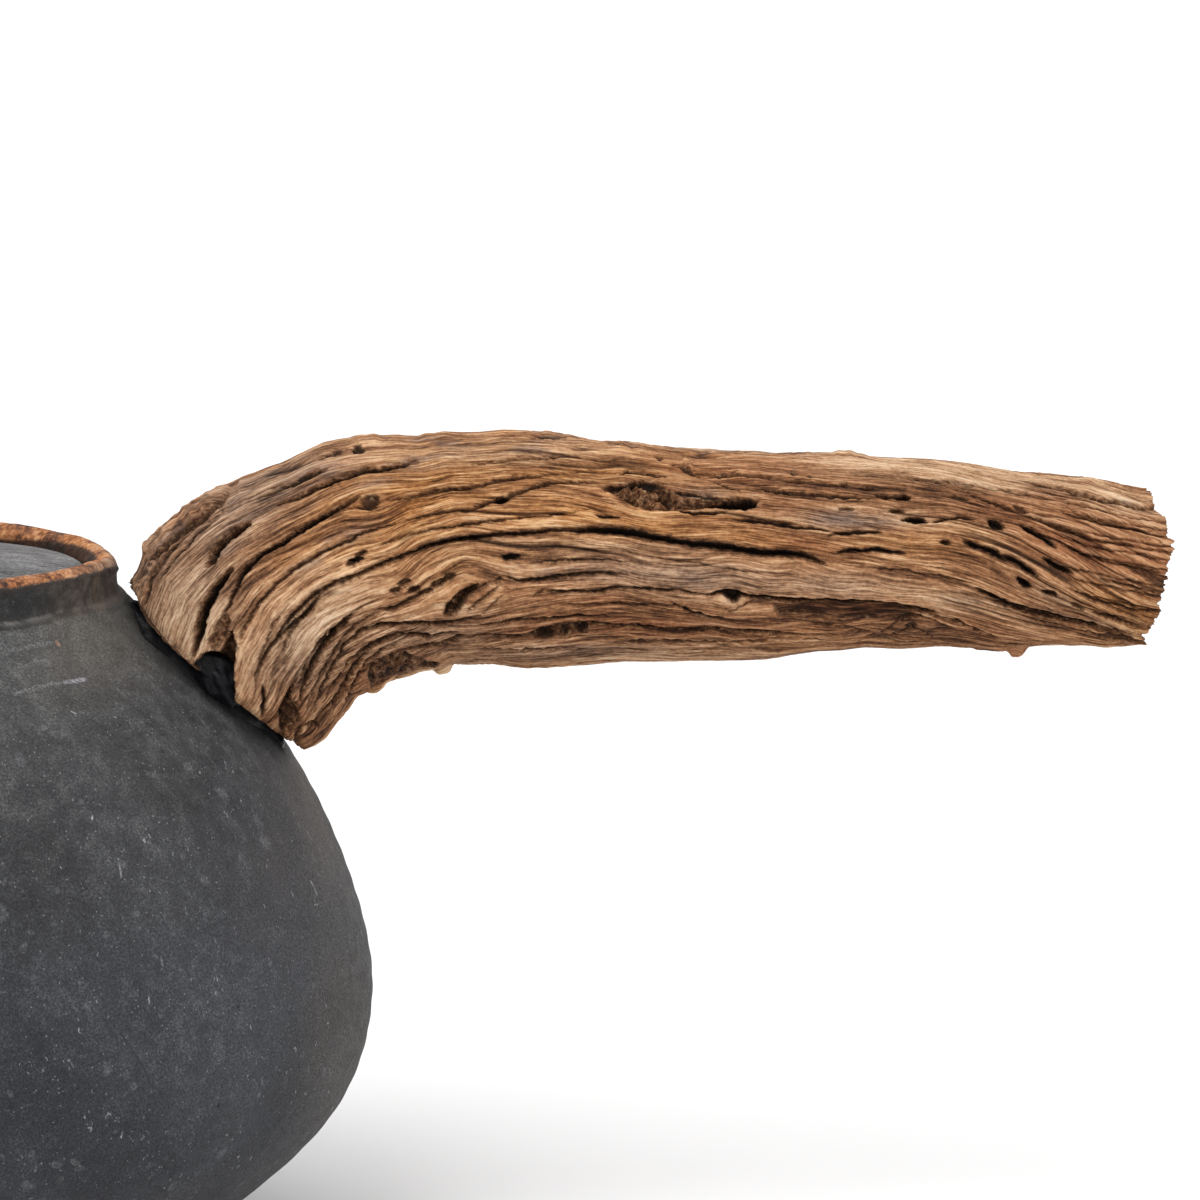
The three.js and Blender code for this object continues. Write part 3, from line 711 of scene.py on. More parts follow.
groove([(456, 608), (468, 596), (480, 587), (496, 579)], 2.6, 0.7, 0.65, lip=-0.35)
groove([(466, 612), (478, 601), (490, 591), (503, 585)], 2.4, 0.6, 0.6, lip=-0.3)
groove([(480, 614), (492, 604), (503, 593)], 2.2, 0.5, 0.5)
hollow(498, 580, 5, 3, -35, 0.5, 0.5)
groove([(481, 624), (500, 622), (516, 619), (545, 618), (578, 616), (610, 616)], 3.4, 0.9, 0.8, lip=0.5)
area([(528, 634), (545, 626), (570, 622), (590, 625), (586, 634), (560, 640), (536, 642)], 1.5, 0.85, 5, 0.5, 6)
groove([(578, 622), (605, 626), (635, 628), (665, 631), (699, 631), (734, 632), (800, 635), (840, 636)], 5.2, 1.5, 0.95, lip=0.75)
groove([(600, 645), (650, 643), (700, 645), (760, 644), (820, 640)], 3.4, 0.8, 0.7, lip=0.3)
groove([(470, 650), (510, 652), (560, 650), (600, 652)], 3.4, 0.8, 0.7, lip=0.3)
groove([(527, 434), (548, 433), (569, 436)], 3, 0.6, 0.8)
groove([(603, 443), (620, 442), (642, 445)], 3, 0.6, 0.7)
groove([(732, 452), (754, 451), (775, 454)], 3, 0.6, 0.8)
groove([(651, 452), (668, 459), (688, 466), (700, 473), (715, 480), (741, 493)], 3.4, 0.8, 0.75, lip=-0.35)
hollow(687, 461, 5, 4, 20, -0.6, 0.0, 0.8)
groove([(470, 462), (520, 455), (570, 452), (630, 456)], 2.8, 0.6, 0.55, lip=0.25)
groove([(700, 470), (740, 472), (780, 478), (830, 482)], 3.0, 0.6, 0.55, lip=0.25)
groove([(748, 486), (790, 492), (840, 496), (874, 498)], 3.0, 0.7, 0.65, lip=0.3)
groove([(640, 556), (690, 562), (740, 570), (790, 574)], 2.6, 0.5, 0.5, lip=0.25)
groove([(560, 604), (610, 602), (650, 604), (690, 606)], 2.6, 0.6, 0.5, lip=0.3)
# right
for x, y, rx, ry, a, d in (
    (793, 473, 4, 2.4, 0, 0.8), (811, 476, 4, 2.2, 0, 0.7), (844, 484, 6, 2.2, 10, 0.8), (902, 498, 8, 4, 2, 2.2), (886, 497, 11, 2.4, 4, 1.0),
    (897, 511, 8, 2.8, 4, 1.0), (915, 521, 13, 3.6, 2, 1.7), (996, 525, 9, 3.4, 28, 1.5), (945, 543, 5, 2.4, 5, 1.0), (1024, 583, 9, 3.4, 34, 1.5),
    (1050, 594, 8, 3, 20, 1.0), (845, 510, 9, 2.4, 0, 0.5), (1020, 509, 9, 2.4, 24, 0.6), (868, 487, 8, 2, 6, 0.5), (960, 498, 9, 2, 12, 0.5), (1078, 606, 8, 2.4, 24, 0.6),
):
    hollow(x, y, rx, ry, a, d, 0.95 if d > 1.3 else 0.62, 0.6)
groove([(930, 523), (945, 520), (960, 518), (976, 519)], 3.4, 0.9, 0.8)
groove([(1020, 524), (1034, 532), (1048, 541), (1056, 548)], 5.5, 1.9, 1.0)
groove([(1043, 558), (1056, 566), (1073, 574)], 6.5, 1.8, 0.95)
groove([(962, 541), (978, 546), (992, 551), (1006, 560)], 6.5, 2.0, 1.0)
groove([(1002, 554), (1018, 563), (1037, 576)], 6.0, 2.0, 1.0)
groove([(836, 553), (850, 550), (880, 550), (907, 554)], 4.6, 1.4, 1.0, lip=0.4)
groove([(828, 536), (850, 533), (882, 532)], 3.4, 0.9, 0.9)
groove([(975, 588), (992, 597), (1010, 606), (1048, 616), (1081, 624), (1112, 634), (1140, 640)], 6.5, 1.9, 1.0, lip=0.6, taper=0.15)
groove([(780, 600), (831, 602), (882, 604), (918, 610), (940, 614)], 6.5, 1.9, 1.0, lip=1.0)
area([(770, 603), (830, 604), (890, 607), (925, 616), (900, 622), (830, 618), (780, 616)], 0.9, 0.45, 6)
groove([(858, 643), (880, 634), (898, 622), (914, 617), (934, 621), (962, 634)], 2.8, 0.7, 0.7, lip=0.35)
groove([(884, 642), (898, 634), (910, 629), (922, 632), (934, 641)], 2.4, 0.5, 0.65)
hollow(911, 627, 6, 4, -10, 0.45, 0.7, 0.8, 0.4)
groove([(928, 614), (950, 620), (978, 632), (1000, 640)], 3.6, 0.9, 0.75, lip=0.5)
groove([(800, 622), (840, 626), (870, 632), (900, 642)], 3.2, 0.7, 0.7, lip=0.4)
groove([(1060, 510), (1073, 514), (1112, 524), (1152, 537)], 3.6, 1.1, 0.72, lip=0.5)
groove([(1099, 579), (1120, 585), (1142, 592), (1156, 597)], 3.4, 0.9, 0.5, lip=0.35)
groove([(1060, 545), (1090, 556), (1120, 566), (1150, 574)], 3.0, 0.8, 0.5, lip=0.4)
groove([(1080, 594), (1105, 603), (1130, 610), (1150, 612)], 3.4, 0.9, 0.6, lip=0.3)
for k in range(9):
    y = 490 + 13.0 * k + 2.5 * math.sin(k * 2.3)
    groove([(1046 + 9 * (k % 3), y - 8), (1080, y), (1112, y + 8), (1142, y + 15), (1168, y + 20)], 2.3, 0.55, 0.42, lip=0.28, taper=0.12)
groove([(930, 480), (960, 490), (1000, 505), (1040, 520), (1080, 535), (1130, 548), (1165, 556)], 3.2, 0.8, 0.6, lip=0.4)
groove([(900, 478), (950, 481), (1010, 490), (1060, 500)], 3.0, 0.6, 0.55, lip=0.3)
groove([(1070, 488), (1100, 496), (1130, 503), (1158, 512)], 3.6, 0.9, 0.75, lip=0.3)
groove([(860, 566), (900, 570), (940, 576), (975, 584)], 2.8, 0.6, 0.6, lip=0.25)
groove([(1090, 612), (1115, 620), (1140, 626)], 3.6, 0.9, 0.8, lip=0.3)

# ---- holes, splits and a knot on the rest of the surface ----
rng = np.random.RandomState(5)
BACK = 1 - FRONT
for _ in range(46):
    s0, t0 = rng.uniform(12, LENGTH - 4), rng.uniform(math.pi * 0.95, 2 * math.pi * 1.02)
    i0, j0 = np.argmin(abs(s_line - s0)), np.argmin(abs(theta_line - (t0 % (2 * math.pi))))
    dphi = (PHI - PHI[i0, j0] + math.pi) % (2 * math.pi) - math.pi
    q = np.hypot(dphi * RADIUS / rng.uniform(0.25, 0.55), (S - s0) / rng.uniform(0.9, 2.4))
    m = (1 - smooth(q, 0.4, 1.2)) * BACK
    D += m * rng.uniform(0.6, 2.0)
    DARK = np.maximum(DARK, m * 0.95)
for _ in range(20):
    s0, t0 = rng.uniform(15, LENGTH - 10), rng.uniform(math.pi, 2 * math.pi)
    i0, j0 = np.argmin(abs(s_line - s0)), np.argmin(abs(theta_line - t0))
    dphi = (PHI - PHI[i0, j0] + math.pi) % (2 * math.pi) - math.pi
    length = rng.uniform(9, 26)
    y = dphi * RADIUS + 0.35 * grain(16, 4, 6)
    env = np.clip(1 - ((S - s0) / length) ** 2, 0, 1) ** 0.7
    w = rng.uniform(0.4, 0.8)
    shape = np.clip(1 - abs(y) / (w * (0.3 + 0.7 * env)), 0, 1) ** 1.2 * (env > 0)
    D += BACK * (rng.uniform(1.0, 2.4) * shape * env + 0.5 * np.where(y > 0, -1, 0.5) * np.exp(-abs(y) / 1.6) * env)
    DARK = np.maximum(DARK, BACK * shape * env**0.5)

# the broad shape keeps to the outline
wide = blur(np.clip(D, -1.0, 1.6), NT / 84 * 0.0 + NS / LENGTH * 9.0, NT / 84 * 6.0)
D = D - 0.8 * wide - 0.05
D = np.where(D < -0.75, -0.75 + (D + 0.75) * 0.35, D)
D = np.where(D > 2.8, 2.8 + (D - 2.8) * 0.5, D)

# the outline's last half millimetre, top, underside and the root's left edge
D += smooth(N0 @ UP, 0.3, 0.9) * np.interp(
    PX,
    [130, 144, 160, 184, 208, 240, 300, 400, 560, 600, 640, 700, 760, 860, 900, 1000, 1100, 1140, 1170],
    [0.5, 0.6, 0.9, 0.85, 0.6, 0.5, 0.35, 0.3, 0.55, 0.7, 0.55, 0.8, 0.25, 0.25, 0, 0.2, 0.4, 0.4, 0],
)
D += smooth(-(N0 @ UP), 0.3, 0.9) * np.interp(PX, [330, 400, 460, 760, 1000, 1020, 1080, 1140], [0, 0.1, 0.4, 0.4, 0.3, 0.25, 0.1, 0])
D += 0.75 * smooth(FACING, -0.35, -0.1) * oval(136, 562, 18, 14, -70)
furrow = smooth(PX, 900, 1010) * np.exp(-((grain(22, 1.5, 34) / 0.09) ** 2)) * smooth(grain(3, 4, 9), -0.4, 0.2)
D += 0.42 * furrow
DARK = np.maximum(DARK, 0.8 * furrow)
fine_end = smooth(S, LENGTH - 20, LENGTH)
D += fine_end * (0.40 * grain(17, 1.4, 20) + 0.30 * np.abs(grain(18, 0.8, 16)))

# steep walls of splits and holes show crumbly end grain, and get dirt and painted shade
slope = np.hypot(np.gradient(D, axis=0) * NS / LENGTH, np.gradient(D, axis=1) * NT / (2 * math.pi * RADIUS))
slope = smooth(slope, 0.9, 1.9)
CRUMB = np.maximum(CRUMB, 0.9 * slope)
DARK = np.maximum(DARK, 0.35 * slope)

# small flakes and chips that break the outline: image x, half length, angle round the section, reach in mm, height in mm
for x, half, turn_to, across, out in (
    (824, 42, -0.05, 3.2, 0.50), (850, 16, 0.0, 2.4, 0.22), (600, 26, 0.05, 2.6, 0.30), (560, 18, -0.1, 2.2, 0.28), (436, 16, 0.0, 2.4, 0.30), (365, 14, 0.1, 2.4, 0.35),
    (1018, 9, math.pi - 0.05, 1.5, 0.9), (1008, 12, math.pi, 1.5, 0.35), (376, 9, math.pi - 0.1, 1.2, 0.6), (443, 9, math.pi - 0.05, 1.1, 0.75), (985, 12, math.pi, 1.5, 0.3),
    (1104, 22, 0.0, 2.6, 0.35), (190, 46, 0.15, 3.0, 0.5), (232, 5, 0.1, 3.0, -0.6), (700, 20, 0.0, 2.0, 0.25),
):
    near = (abs(((T - turn_to + math.pi) % (2 * math.pi)) - math.pi) * RADIUS / across) ** 4
    D -= out * np.exp(-near - (abs((PX - x) / half) ** 5)) * (1 + 0.3 * noises[23](PX / 9, PY / 9, 0.2))

skin = base - N0 * D[..., None]

# the broken end: fibres of uneven length
f_end = (1 - np.cos(T[0])) / 2
e = np.interp(f_end, *np.array(END).T)
behind = np.interp(f_end, *np.array([(0, 0.1), (0.12, 1.5), (0.2, 0.6), (0.33, 2.6), (0.45, 1.6), (0.6, 2.9), (0.72, 1.2), (0.85, 1.9), (1, 0)]).T)
e = np.where(np.sin(T[0]) >= 0, e, behind)
e = e * 0.8 - 0.1
cell = np.floor(T[0] * 15 + 2.4 * np.sin(T[0] * 4.3 + 1) + 1.1 * np.sin(T[0] * 11.7))
jag = np.random.RandomState(77).uniform(-0.45, 0.25, 400)[(cell.astype(int)) % 400]
e = e + jag + 0.22 * noises[19](np.cos(T[0]) * 14, np.sin(T[0]) * 14, 0.2) + 0.16 * noises[18](np.cos(T[0]) * 40, np.sin(T[0]) * 40, 0.2)
pull = smooth(S, LENGTH - 8.5, LENGTH)
skin[..., 0] += pull * e[None, :]

# the root rests on the resin, higher in front
LIFT = 1.15 + 1.75 * smooth(-base[..., 1], -6.0, 7.5)
skin = keep_off_pot(skin, LIFT)
# painted shade on the root where it comes close to the pot
rows = int(NS * 0.2)
close = pot_distance(skin[:rows])[0] - LIFT[:rows]
DARK[:rows] = np.maximum(DARK[:rows], 0.5 * (1 - smooth(close, 0.15, 1.6)))

# caps: the broken face, and the bored root round the clay tenon
edge = skin[-1]
heart = edge.mean(0) + np.array([-0.8, 0.0, 0.4])
caps = 60
k = np.linspace(0, 1, caps + 1)[1:-1]
rad = 1 - k[:, None]
face = edge[None] * rad[..., None] + heart[None, None] * (1 - rad[..., None])
fy, fz = face[..., 1], face[..., 2]
ang = np.arctan2(fy - heart[1], fz - heart[2])
dist = np.hypot(fy - heart[1], fz - heart[2])
rings_wood = 0.28 * np.sin(2 * math.pi * (dist / 1.05 + 0.5 * noises[3](fy / 4, fz / 4, 2.2)))
fibre = 0.75 * noises[5](fy / 2.4, fz / 2.4, 0.7) + 0.5 * noises[6](fy / 1.0, fz / 1.0, 3.7) + 0.3 * noises[7](fy / 0.5, fz / 0.5, 5.7)
chunks = 1.5 * noises[8](fy / 5.0, fz / 5.0, 8.8)
rays = np.zeros_like(ang)
for a0, w0, d0 in ((0.5, 0.35, 2.6), (2.0, 0.3, 2.0), (-1.2, 0.4, 2.8), (-2.6, 0.3, 1.8), (1.25, 0.22, 1.4), (-0.3, 0.2, 1.6)):
    off = (ang - a0 - 0.18 * np.sin(dist * 0.9) + math.pi) % (2 * math.pi) - math.pi
    rays = np.maximum(rays, np.clip(1 - abs(off * dist) / w0, 0, 1) * smooth(dist, 1.0, 3.0) * d0)
hold = smooth(1 - rad, 0.0, 0.12)
shift = hold * (rings_wood + fibre + chunks - 1.2 - rays - 2.2 * np.exp(-((dist / 1.3) ** 2)))
face[..., 0] += np.clip(shift, -5, 1.6)
face_dark = np.clip(0.25 + 0.5 * rays / 2.5 - 0.35 * fibre - 0.2 * chunks, 0, 1)

root = skin[0]
bore_profile = [(9.3, 0.9), (8.1, 2.2), (7.1, 4.4), (6.8, 7.5), (6.5, 11.0), (6.3, 14.2), (5.4, 15.4), (2.6, 15.6)]
circle = np.cos(theta_line)[:, None] * STUB_CROSS + np.sin(theta_line)[:, None] * np.array([0, -1.0, 0])
bore = np.stack([STUB_ROOT + circle * r + STUB_AXIS * t for r, t in bore_profile])
mouth = keep_off_pot(bore[0], 1.15)
step = np.linspace(0, 1, 8)[1:-1, None, None]
under = keep_off_pot(root[None] * (1 - step) + mouth[None] * step, 1.15)
inner = np.concatenate([bore[1:][::-1], mouth[None], under[::-1]])
bore_end = STUB_ROOT + STUB_AXIS * 15.6

rings = np.concatenate([inner, skin, face])
n_in, n_out = len(inner), len(face)


def stack(values, inside, outside):
    a = np.broadcast_to(inside, (n_in, NT) + np.shape(values)[2:])
    return np.concatenate([a, values, outside])


# ---- wood: where it is pale, gold, red or grey ----
def patch(spots, back):
    """Soft ovals on the front by image position (x, y, half width, half height, degrees, strength), and noise behind."""
    v = np.zeros((NS, NT))
    for x, y, rx, ry, ang, amount in spots:
        a = math.radians(ang)
        dx, dy = PX - x, PY - y
        q = ((dx * math.cos(a) + dy * math.sin(a)) / rx) ** 2 + ((-dx * math.sin(a) + dy * math.cos(a)) / ry) ** 2
        v = np.maximum(v, amount * np.exp(-q))
    return np.clip(v * FRONT + back * BACK, 0, 1)


big = grain(9, 9, 26)
big2 = grain(12, 7, 20, 3.1)
GOLD = patch(
    [(420, 500, 120, 50, -18, 0.9), (620, 520, 160, 22, 4, 1.0), (560, 470, 150, 26, -3, 0.75), (770, 540, 70, 18, 6, 0.8), (350, 530, 90, 40, -35, 0.6),
     (900, 540, 90, 16, 4, 0.6), (1110, 610, 50, 22, 20, 0.8), (480, 560, 80, 20, -5, 0.4)],
    smooth(big, -0.1, 0.6),
)
RED = patch(
    [(1090, 545, 90, 34, 20, 1.0), (1010, 515, 60, 22, 20, 0.7), (800, 545, 60, 12, 4, 0.7), (640, 625, 140, 14, 2, 0.8), (545, 632, 50, 10, 0, 0.9),
     (390, 672, 40, 18, -20, 1.0), (290, 712, 16, 22, 0, 0.9), (645, 495, 50, 16, 0, 0.6), (740, 470, 90, 14, 3, 0.6), (600, 600, 50, 8, 0, 0.5),
     (190, 510, 40, 10, -42, 0.6), (850, 608, 90, 8, 2, 0.8), (760, 505, 50, 12, 0, 0.5), (980, 625, 60, 12, 12, 0.5), (148, 590, 8, 22, 20, 0.8), (1052, 494, 36, 13, 18, 1.0)],
    smooth(big2, 0.05, 0.7) * 0.9,
)
GREY = patch(
    [(300, 650, 70, 50, -50, 0.8), (180, 600, 70, 60, -50, 0.95), (235, 510, 90, 34, -38, 0.95), (420, 640, 90, 24, -8, 0.7), (680, 575, 140, 20, 5, 0.8), (850, 520, 70, 10, 2, 0.8),
     (830, 585, 70, 16, 4, 0.7), (560, 655, 130, 12, 0, 0.6), (700, 495, 24, 7, 0, 0.9), (240, 510, 60, 16, -38, 0.5), (330, 470, 60, 10, -20, 0.4), (1060, 600, 40, 10, 22, 0.5)],
    smooth(-big, -0.05, 0.6) * 0.8,
)
PALE = patch(
    [(980, 474, 130, 13, 6, 0.85), (880, 465, 60, 9, 2, 0.7), (1120, 500, 40, 12, 14, 0.7), (520, 450, 100, 14, -2, 0.5), (170, 620, 36, 36, 30, 0.6),
     (320, 620, 60, 26, -42, 0.5), (700, 660, 100, 6, 0, 0.5), (950, 600, 60, 8, 12, 0.5), (600, 545, 100, 7, 2, 0.5)],
    smooth(grain(13, 8, 30, 5.0), 0.1, 0.7) * 0.8,
)
STAIN = patch(
    [(250, 500, 70, 18, -32, 1.0), (175, 535, 40, 16, -45, 0.9), (330, 548, 50, 12, -28, 0.8), (520, 445, 60, 6, -2, 0.7), (830, 453, 50, 5, 0, 1.0), (430, 440, 30, 5, 0, 0.9),
     (560, 570, 60, 8, 0, 0.6), (700, 580, 60, 10, 4, 0.5), (850, 520, 50, 8, 0, 0.9), (1000, 610, 60, 10, 15, 0.5), (1080, 620, 40, 8, 15, 0.6), (380, 480, 34, 8, -12, 0.6), (292, 484, 60, 11, -24, 1.0), (226, 545, 26, 14, -50, 0.9), (400, 462, 60, 7, -8, 0.8), (462, 440, 70, 6, 0, 0.7), (300, 520, 60, 9, -32, 0.5), (600, 650, 80, 6, 0, 0.4), (148, 570, 14, 26, 25, 0.7)],
    smooth(grain(19, 8, 22, 6.0), 0.0, 0.6) * 0.8,
)
high = blur(D, NS / LENGTH * 3.5, NT / 84 * 1.3) - D  # ridges positive, valleys negative
# painted highlight on ridges and painted shade in valleys, with the streaks of the worn layers
RIDGE_SHADING_AND_STREAKS = np.clip(0.5 + high * 1.25 - 0.22 * STREAK, 0, 1)
TONE = 0.5 + 0.50 * grain(10, 2.6, 34, 1.7) + 0.30 * grain(11, 1.0, 15, 2.9) + 0.50 * grain(15, 5.5, 40, 4.2)
# on the front, patches of lighter and darker tone; the darkening at the root's lower edge, oval(310, 730), is painted
# shadow
TONE += FRONT * (0.45 * oval(1090, 548, 80, 40, 18) + 0.35 * oval(900, 565, 90, 22, 4) + 0.2 * oval(960, 476, 130, 12, 6) - 0.55 * oval(700, 558, 110, 22, 3) - 0.6 * oval(890, 628, 100, 14, 4) - 0.3 * oval(560, 630, 110, 14, 0) - 0.25 * oval(300, 490, 60, 14, -20) - 0.3 * oval(400, 645, 90, 26, -12) - 0.35 * oval(725, 602, 44, 16, 0) - 0.3 * oval(310, 730, 26, 14, 0) - 0.48 * oval(600, 456, 110, 14, 0) + 0.36 * oval(1110, 548, 60, 34, 18) - 0.22 * oval(300, 640, 60, 50, -50) - 0.3 * oval(1052, 494, 36, 12, 18))
TONE = np.clip(TONE, -0.3, 1.3)
DARK *= 1 - 0.4 * FRONT * oval(1148, 562, 34, 20, 12)
DARK = np.clip(DARK, 0, 1)

grain_vec = np.stack([GX, GY, GZ], -1)
face_grain = np.stack([fy * 1.0, fz * 1.0, LENGTH + dist * 0.5], -1)
wood = rings_mesh(
    "driftwood",
    rings,
    (bore_end, face[-1].mean(0)),
    {
        "grain": stack(grain_vec, np.array([3.0, 3.0, 0.0]), face_grain),
        "dark": stack(DARK, 0.8, face_dark),
        "ridge_shading_and_streaks": stack(RIDGE_SHADING_AND_STREAKS, 0.3, np.clip(0.5 + 0.5 * fibre, 0, 1)),
        "tone": stack(TONE, 0.4, np.clip(0.45 + 0.5 * noises[9](fy / 2, fz / 2, 1.1), 0, 1)),
        "gold": stack(GOLD, 0.2, np.full(dist.shape, 0.25)),
        "red": stack(RED, 0.2, np.clip(0.45 + 0.5 * noises[11](fy / 4, fz / 4, 1.1), 0, 1)),
        "grey": stack(GREY, 0.2, np.full(dist.shape, 0.15)),
        "pale": stack(PALE, 0.0, np.full(dist.shape, 0.1)),
        "crumb": stack(CRUMB, 0.0, np.full(dist.shape, 0.35)),
        "stain": stack(STAIN, 0.0, np.full(dist.shape, 0.3)),
        "calm": stack(calm, 0.0, np.full(dist.shape, 0.0)),
    },
)
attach(wood, "pot")
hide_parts("handle_wood")

# ------------------------------------------------------------------ resin under the root
polar_n, polar_m = ((46, 300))
# outline of the root where it meets the resin: the lowest ring that stands clear of the shoulder
clear = np.zeros(NT)
contact = np.zeros((NT, 3))
lift, _ = pot_distance(skin[: int(NS * 0.2)])
for j in range(NT):
    up_to = np.nonzero(lift[:, j] > LIFT[0, j] + 0.7)[0]
    i = up_to[0] if len(up_to) else 0
    contact[j] = skin[i, j]
rel = contact - STUB_ROOT
cu = rel @ STUB_CROSS
cv = rel @ np.array([0, -1.0, 0])
ca, cr = np.arctan2(cv, cu), np.hypot(cu, cv)
o = ca.argsort()
psi = np.linspace(-math.pi, math.pi, polar_m, endpoint=False)
reach = np.interp(psi, np.concatenate([ca[o] - 2 * math.pi, ca[o], ca[o] + 2 * math.pi]), np.tile(cr[o], 3))
kern = np.hanning(13) / np.hanning(13).sum()
reach = np.convolve(np.concatenate([reach[-6:], reach, reach[:6]]), kern, "valid")
rim_noise = Noise(41)
spread = 0.25 + 0.45 * rim_noise(np.cos(psi) * 2.3, np.sin(psi) * 2.3, 0.4) + 0.3 * rim_noise(np.cos(psi) * 7, np.sin(psi) * 7, 3.4)
spread -= 2.4 * smooth(np.cos(psi), 0.05, 0.75) + 1.5 * smooth(-np.cos(psi), 0.25, 0.85)
reach = reach + spread
# on the front its edge follows the joint seen in the photograph
SEEN = np.array([(131, 605), (143, 638), (165, 655), (200, 676), (227, 698), (252, 721), (268, 732), (284, 746)], float)
tries = np.linspace(9.8, 27.0, 120)
spots = STUB_ROOT + tries[:, None, None] * (np.cos(psi)[:, None] * STUB_CROSS + np.sin(psi)[:, None] * np.array([0, -1.0, 0]))[None]
wall_spots = spots.reshape(-1, 3).copy()
for _ in range(6):
    d, g = pot_distance(wall_spots)
    wall_spots = wall_spots - g * d[:, None]
qx, qy = project(wall_spots.reshape(spots.shape))
inside_seen = (qy < np.interp(qx, SEEN[:, 0], SEEN[:, 1])) & (qx > 130) & (qx < 286)
limit = tries[np.clip(np.cumprod(inside_seen, axis=0).sum(0) - 1, 0, len(tries) - 1)]
limit = np.convolve(np.concatenate([limit[-4:], limit, limit[:4]]), np.hanning(11)[1:-1] / np.hanning(11).sum(), "valid") + 0.12 * rim_noise(np.cos(psi) * 9, np.sin(psi) * 9, 8.4)
facing_us = smooth(np.sin(psi), 0.0, 0.2)
reach = np.maximum(reach * (1 - facing_us) + limit * facing_us, 10.2)
k = np.linspace(0, 1, polar_n) ** 0.8
ring_r = 9.6 + k[:, None] * (reach - 9.6)[None, :]
flat = STUB_ROOT + ring_r[..., None] * (np.cos(psi)[:, None] * STUB_CROSS + np.sin(psi)[:, None] * np.array([0, -1.0, 0]))
on_wall = flat.copy().reshape(-1, 3)
for _ in range(6):
    d, g = pot_distance(on_wall)
    on_wall = on_wall - g * d[:, None]
d, g = pot_distance(on_wall + 1e-3 * STUB_AXIS)
on_wall = on_wall.reshape(flat.shape)
g = g.reshape(flat.shape)
to_edge = reach[None, :] - ring_r
thick = (1.25 + 1.45 * smooth(-on_wall[..., 1], 0.5, 6.0)) * np.clip(to_edge / 1.9, 0, 1) ** 0.75
thick += smooth(to_edge, 0.0, 2.0) * 0.25 * rim_noise(on_wall[..., 0] / 2.5, on_wall[..., 1] / 2.5, on_wall[..., 2] / 2.5)
rx, ry = project(on_wall)
# the lump that fills the notch in the root
lump = np.exp(-(((rx - 214) / 15) ** 2) - (((ry - 690) / 16) ** 2)) * smooth(to_edge, 0.2, 2.0) * (on_wall[..., 1] < 0)
thick = np.maximum(thick + 2.6 * lump * (1 + 0.25 * rim_noise(on_wall[..., 0] / 1.1, on_wall[..., 1] / 1.1, on_wall[..., 2] / 1.1)), 0.02)
top_side = on_wall + g * thick[..., None]
low_side = on_wall + g * 0.03
resin = rings_mesh("resin", np.concatenate([top_side, low_side[::-1]]))
s0, t0 = grid_at([(216, 683)])[0]
i0, j0 = np.argmin(abs(s_line - s0)), np.argmin(abs(theta_line - t0))
heart_of = base[i0, j0] - N0[i0, j0] * 2.3
lat = np.linspace(0, math.pi, 40)[1:-1, None]
lon = np.linspace(0, 2 * math.pi, 72, endpoint=False)[None, :]
ball = np.stack([np.sin(lat) * np.cos(lon), np.sin(lat) * np.sin(lon), np.cos(lat) * np.ones_like(lon)], -1)
size = 1 + 0.26 * rim_noise(ball[..., 0] * 1.5, ball[..., 1] * 1.5, ball[..., 2] * 1.5) + 0.09 * rim_noise(ball[..., 0] * 4, ball[..., 1] * 4, ball[..., 2] * 4)
run_down = unit(np.array([0.66, 0.0, -0.75]))
axes = np.stack([2.5 * unit(np.cross(run_down, VIEW)), 2.1 * VIEW, 4.0 * run_down])
plug = rings_mesh("resin_plug", heart_of + (ball * size[..., None]) @ axes, (heart_of + axes[2], heart_of - axes[2]))
bpy.ops.object.select_all(action="DESELECT")
plug.select_set(True)
resin.select_set(True)
bpy.context.view_layer.objects.active = resin
bpy.ops.object.join()
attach(resin, "pot")
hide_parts("resin_bed")

# ------------------------------------------------------------------ the pot
throw = Noise(51)


def thrown(r, z, a):
    """Throwing rings, a slightly uneven wall and a rough skin."""
    x, y = np.cos(a), np.sin(a)
    ring = 0.045 * np.sin(z * 1.9 + 1.5 * throw(x * 0.8, y * 0.8, z / 22)) * smooth(z, 2, 10)
    soft = 0.16 * throw(x * 1.5, y * 1.5, z / 26) + 0.05 * throw(x * 9, y * 9, z / 6)
    lip = smooth(z, 86.8, 88.8)
    bumpy = lip * (0.13 * throw(x * 17, y * 17, z / 1.8) + 0.07 * throw(x * 40, y * 40, z / 0.8))
    amount = smooth(z, 0.1, 3.0)
    # the lip sags towards the handle, more at the back
    sag = (0.62 * smooth(x, 0.3, 0.75) + 0.5 * smooth(x, 0.82, 0.97)) * (0.15 + 0.85 * smooth(y, -0.35, 0.15)) * smooth(z, 84.9, 89.0)
    worn = 0.25 * smooth(x, 0.9, 0.99) * smooth(r, 30.2, 31.2) * smooth(z, 85.0, 88.0)
    return r + amount * (ring + soft * (1 - 0.6 * lip) + bumpy) - worn, z - sag + lip * 0.16 * throw(x * 5, y * 5, 5.5) + lip * 0.06 * throw(x * 24, y * 24, 1.5)


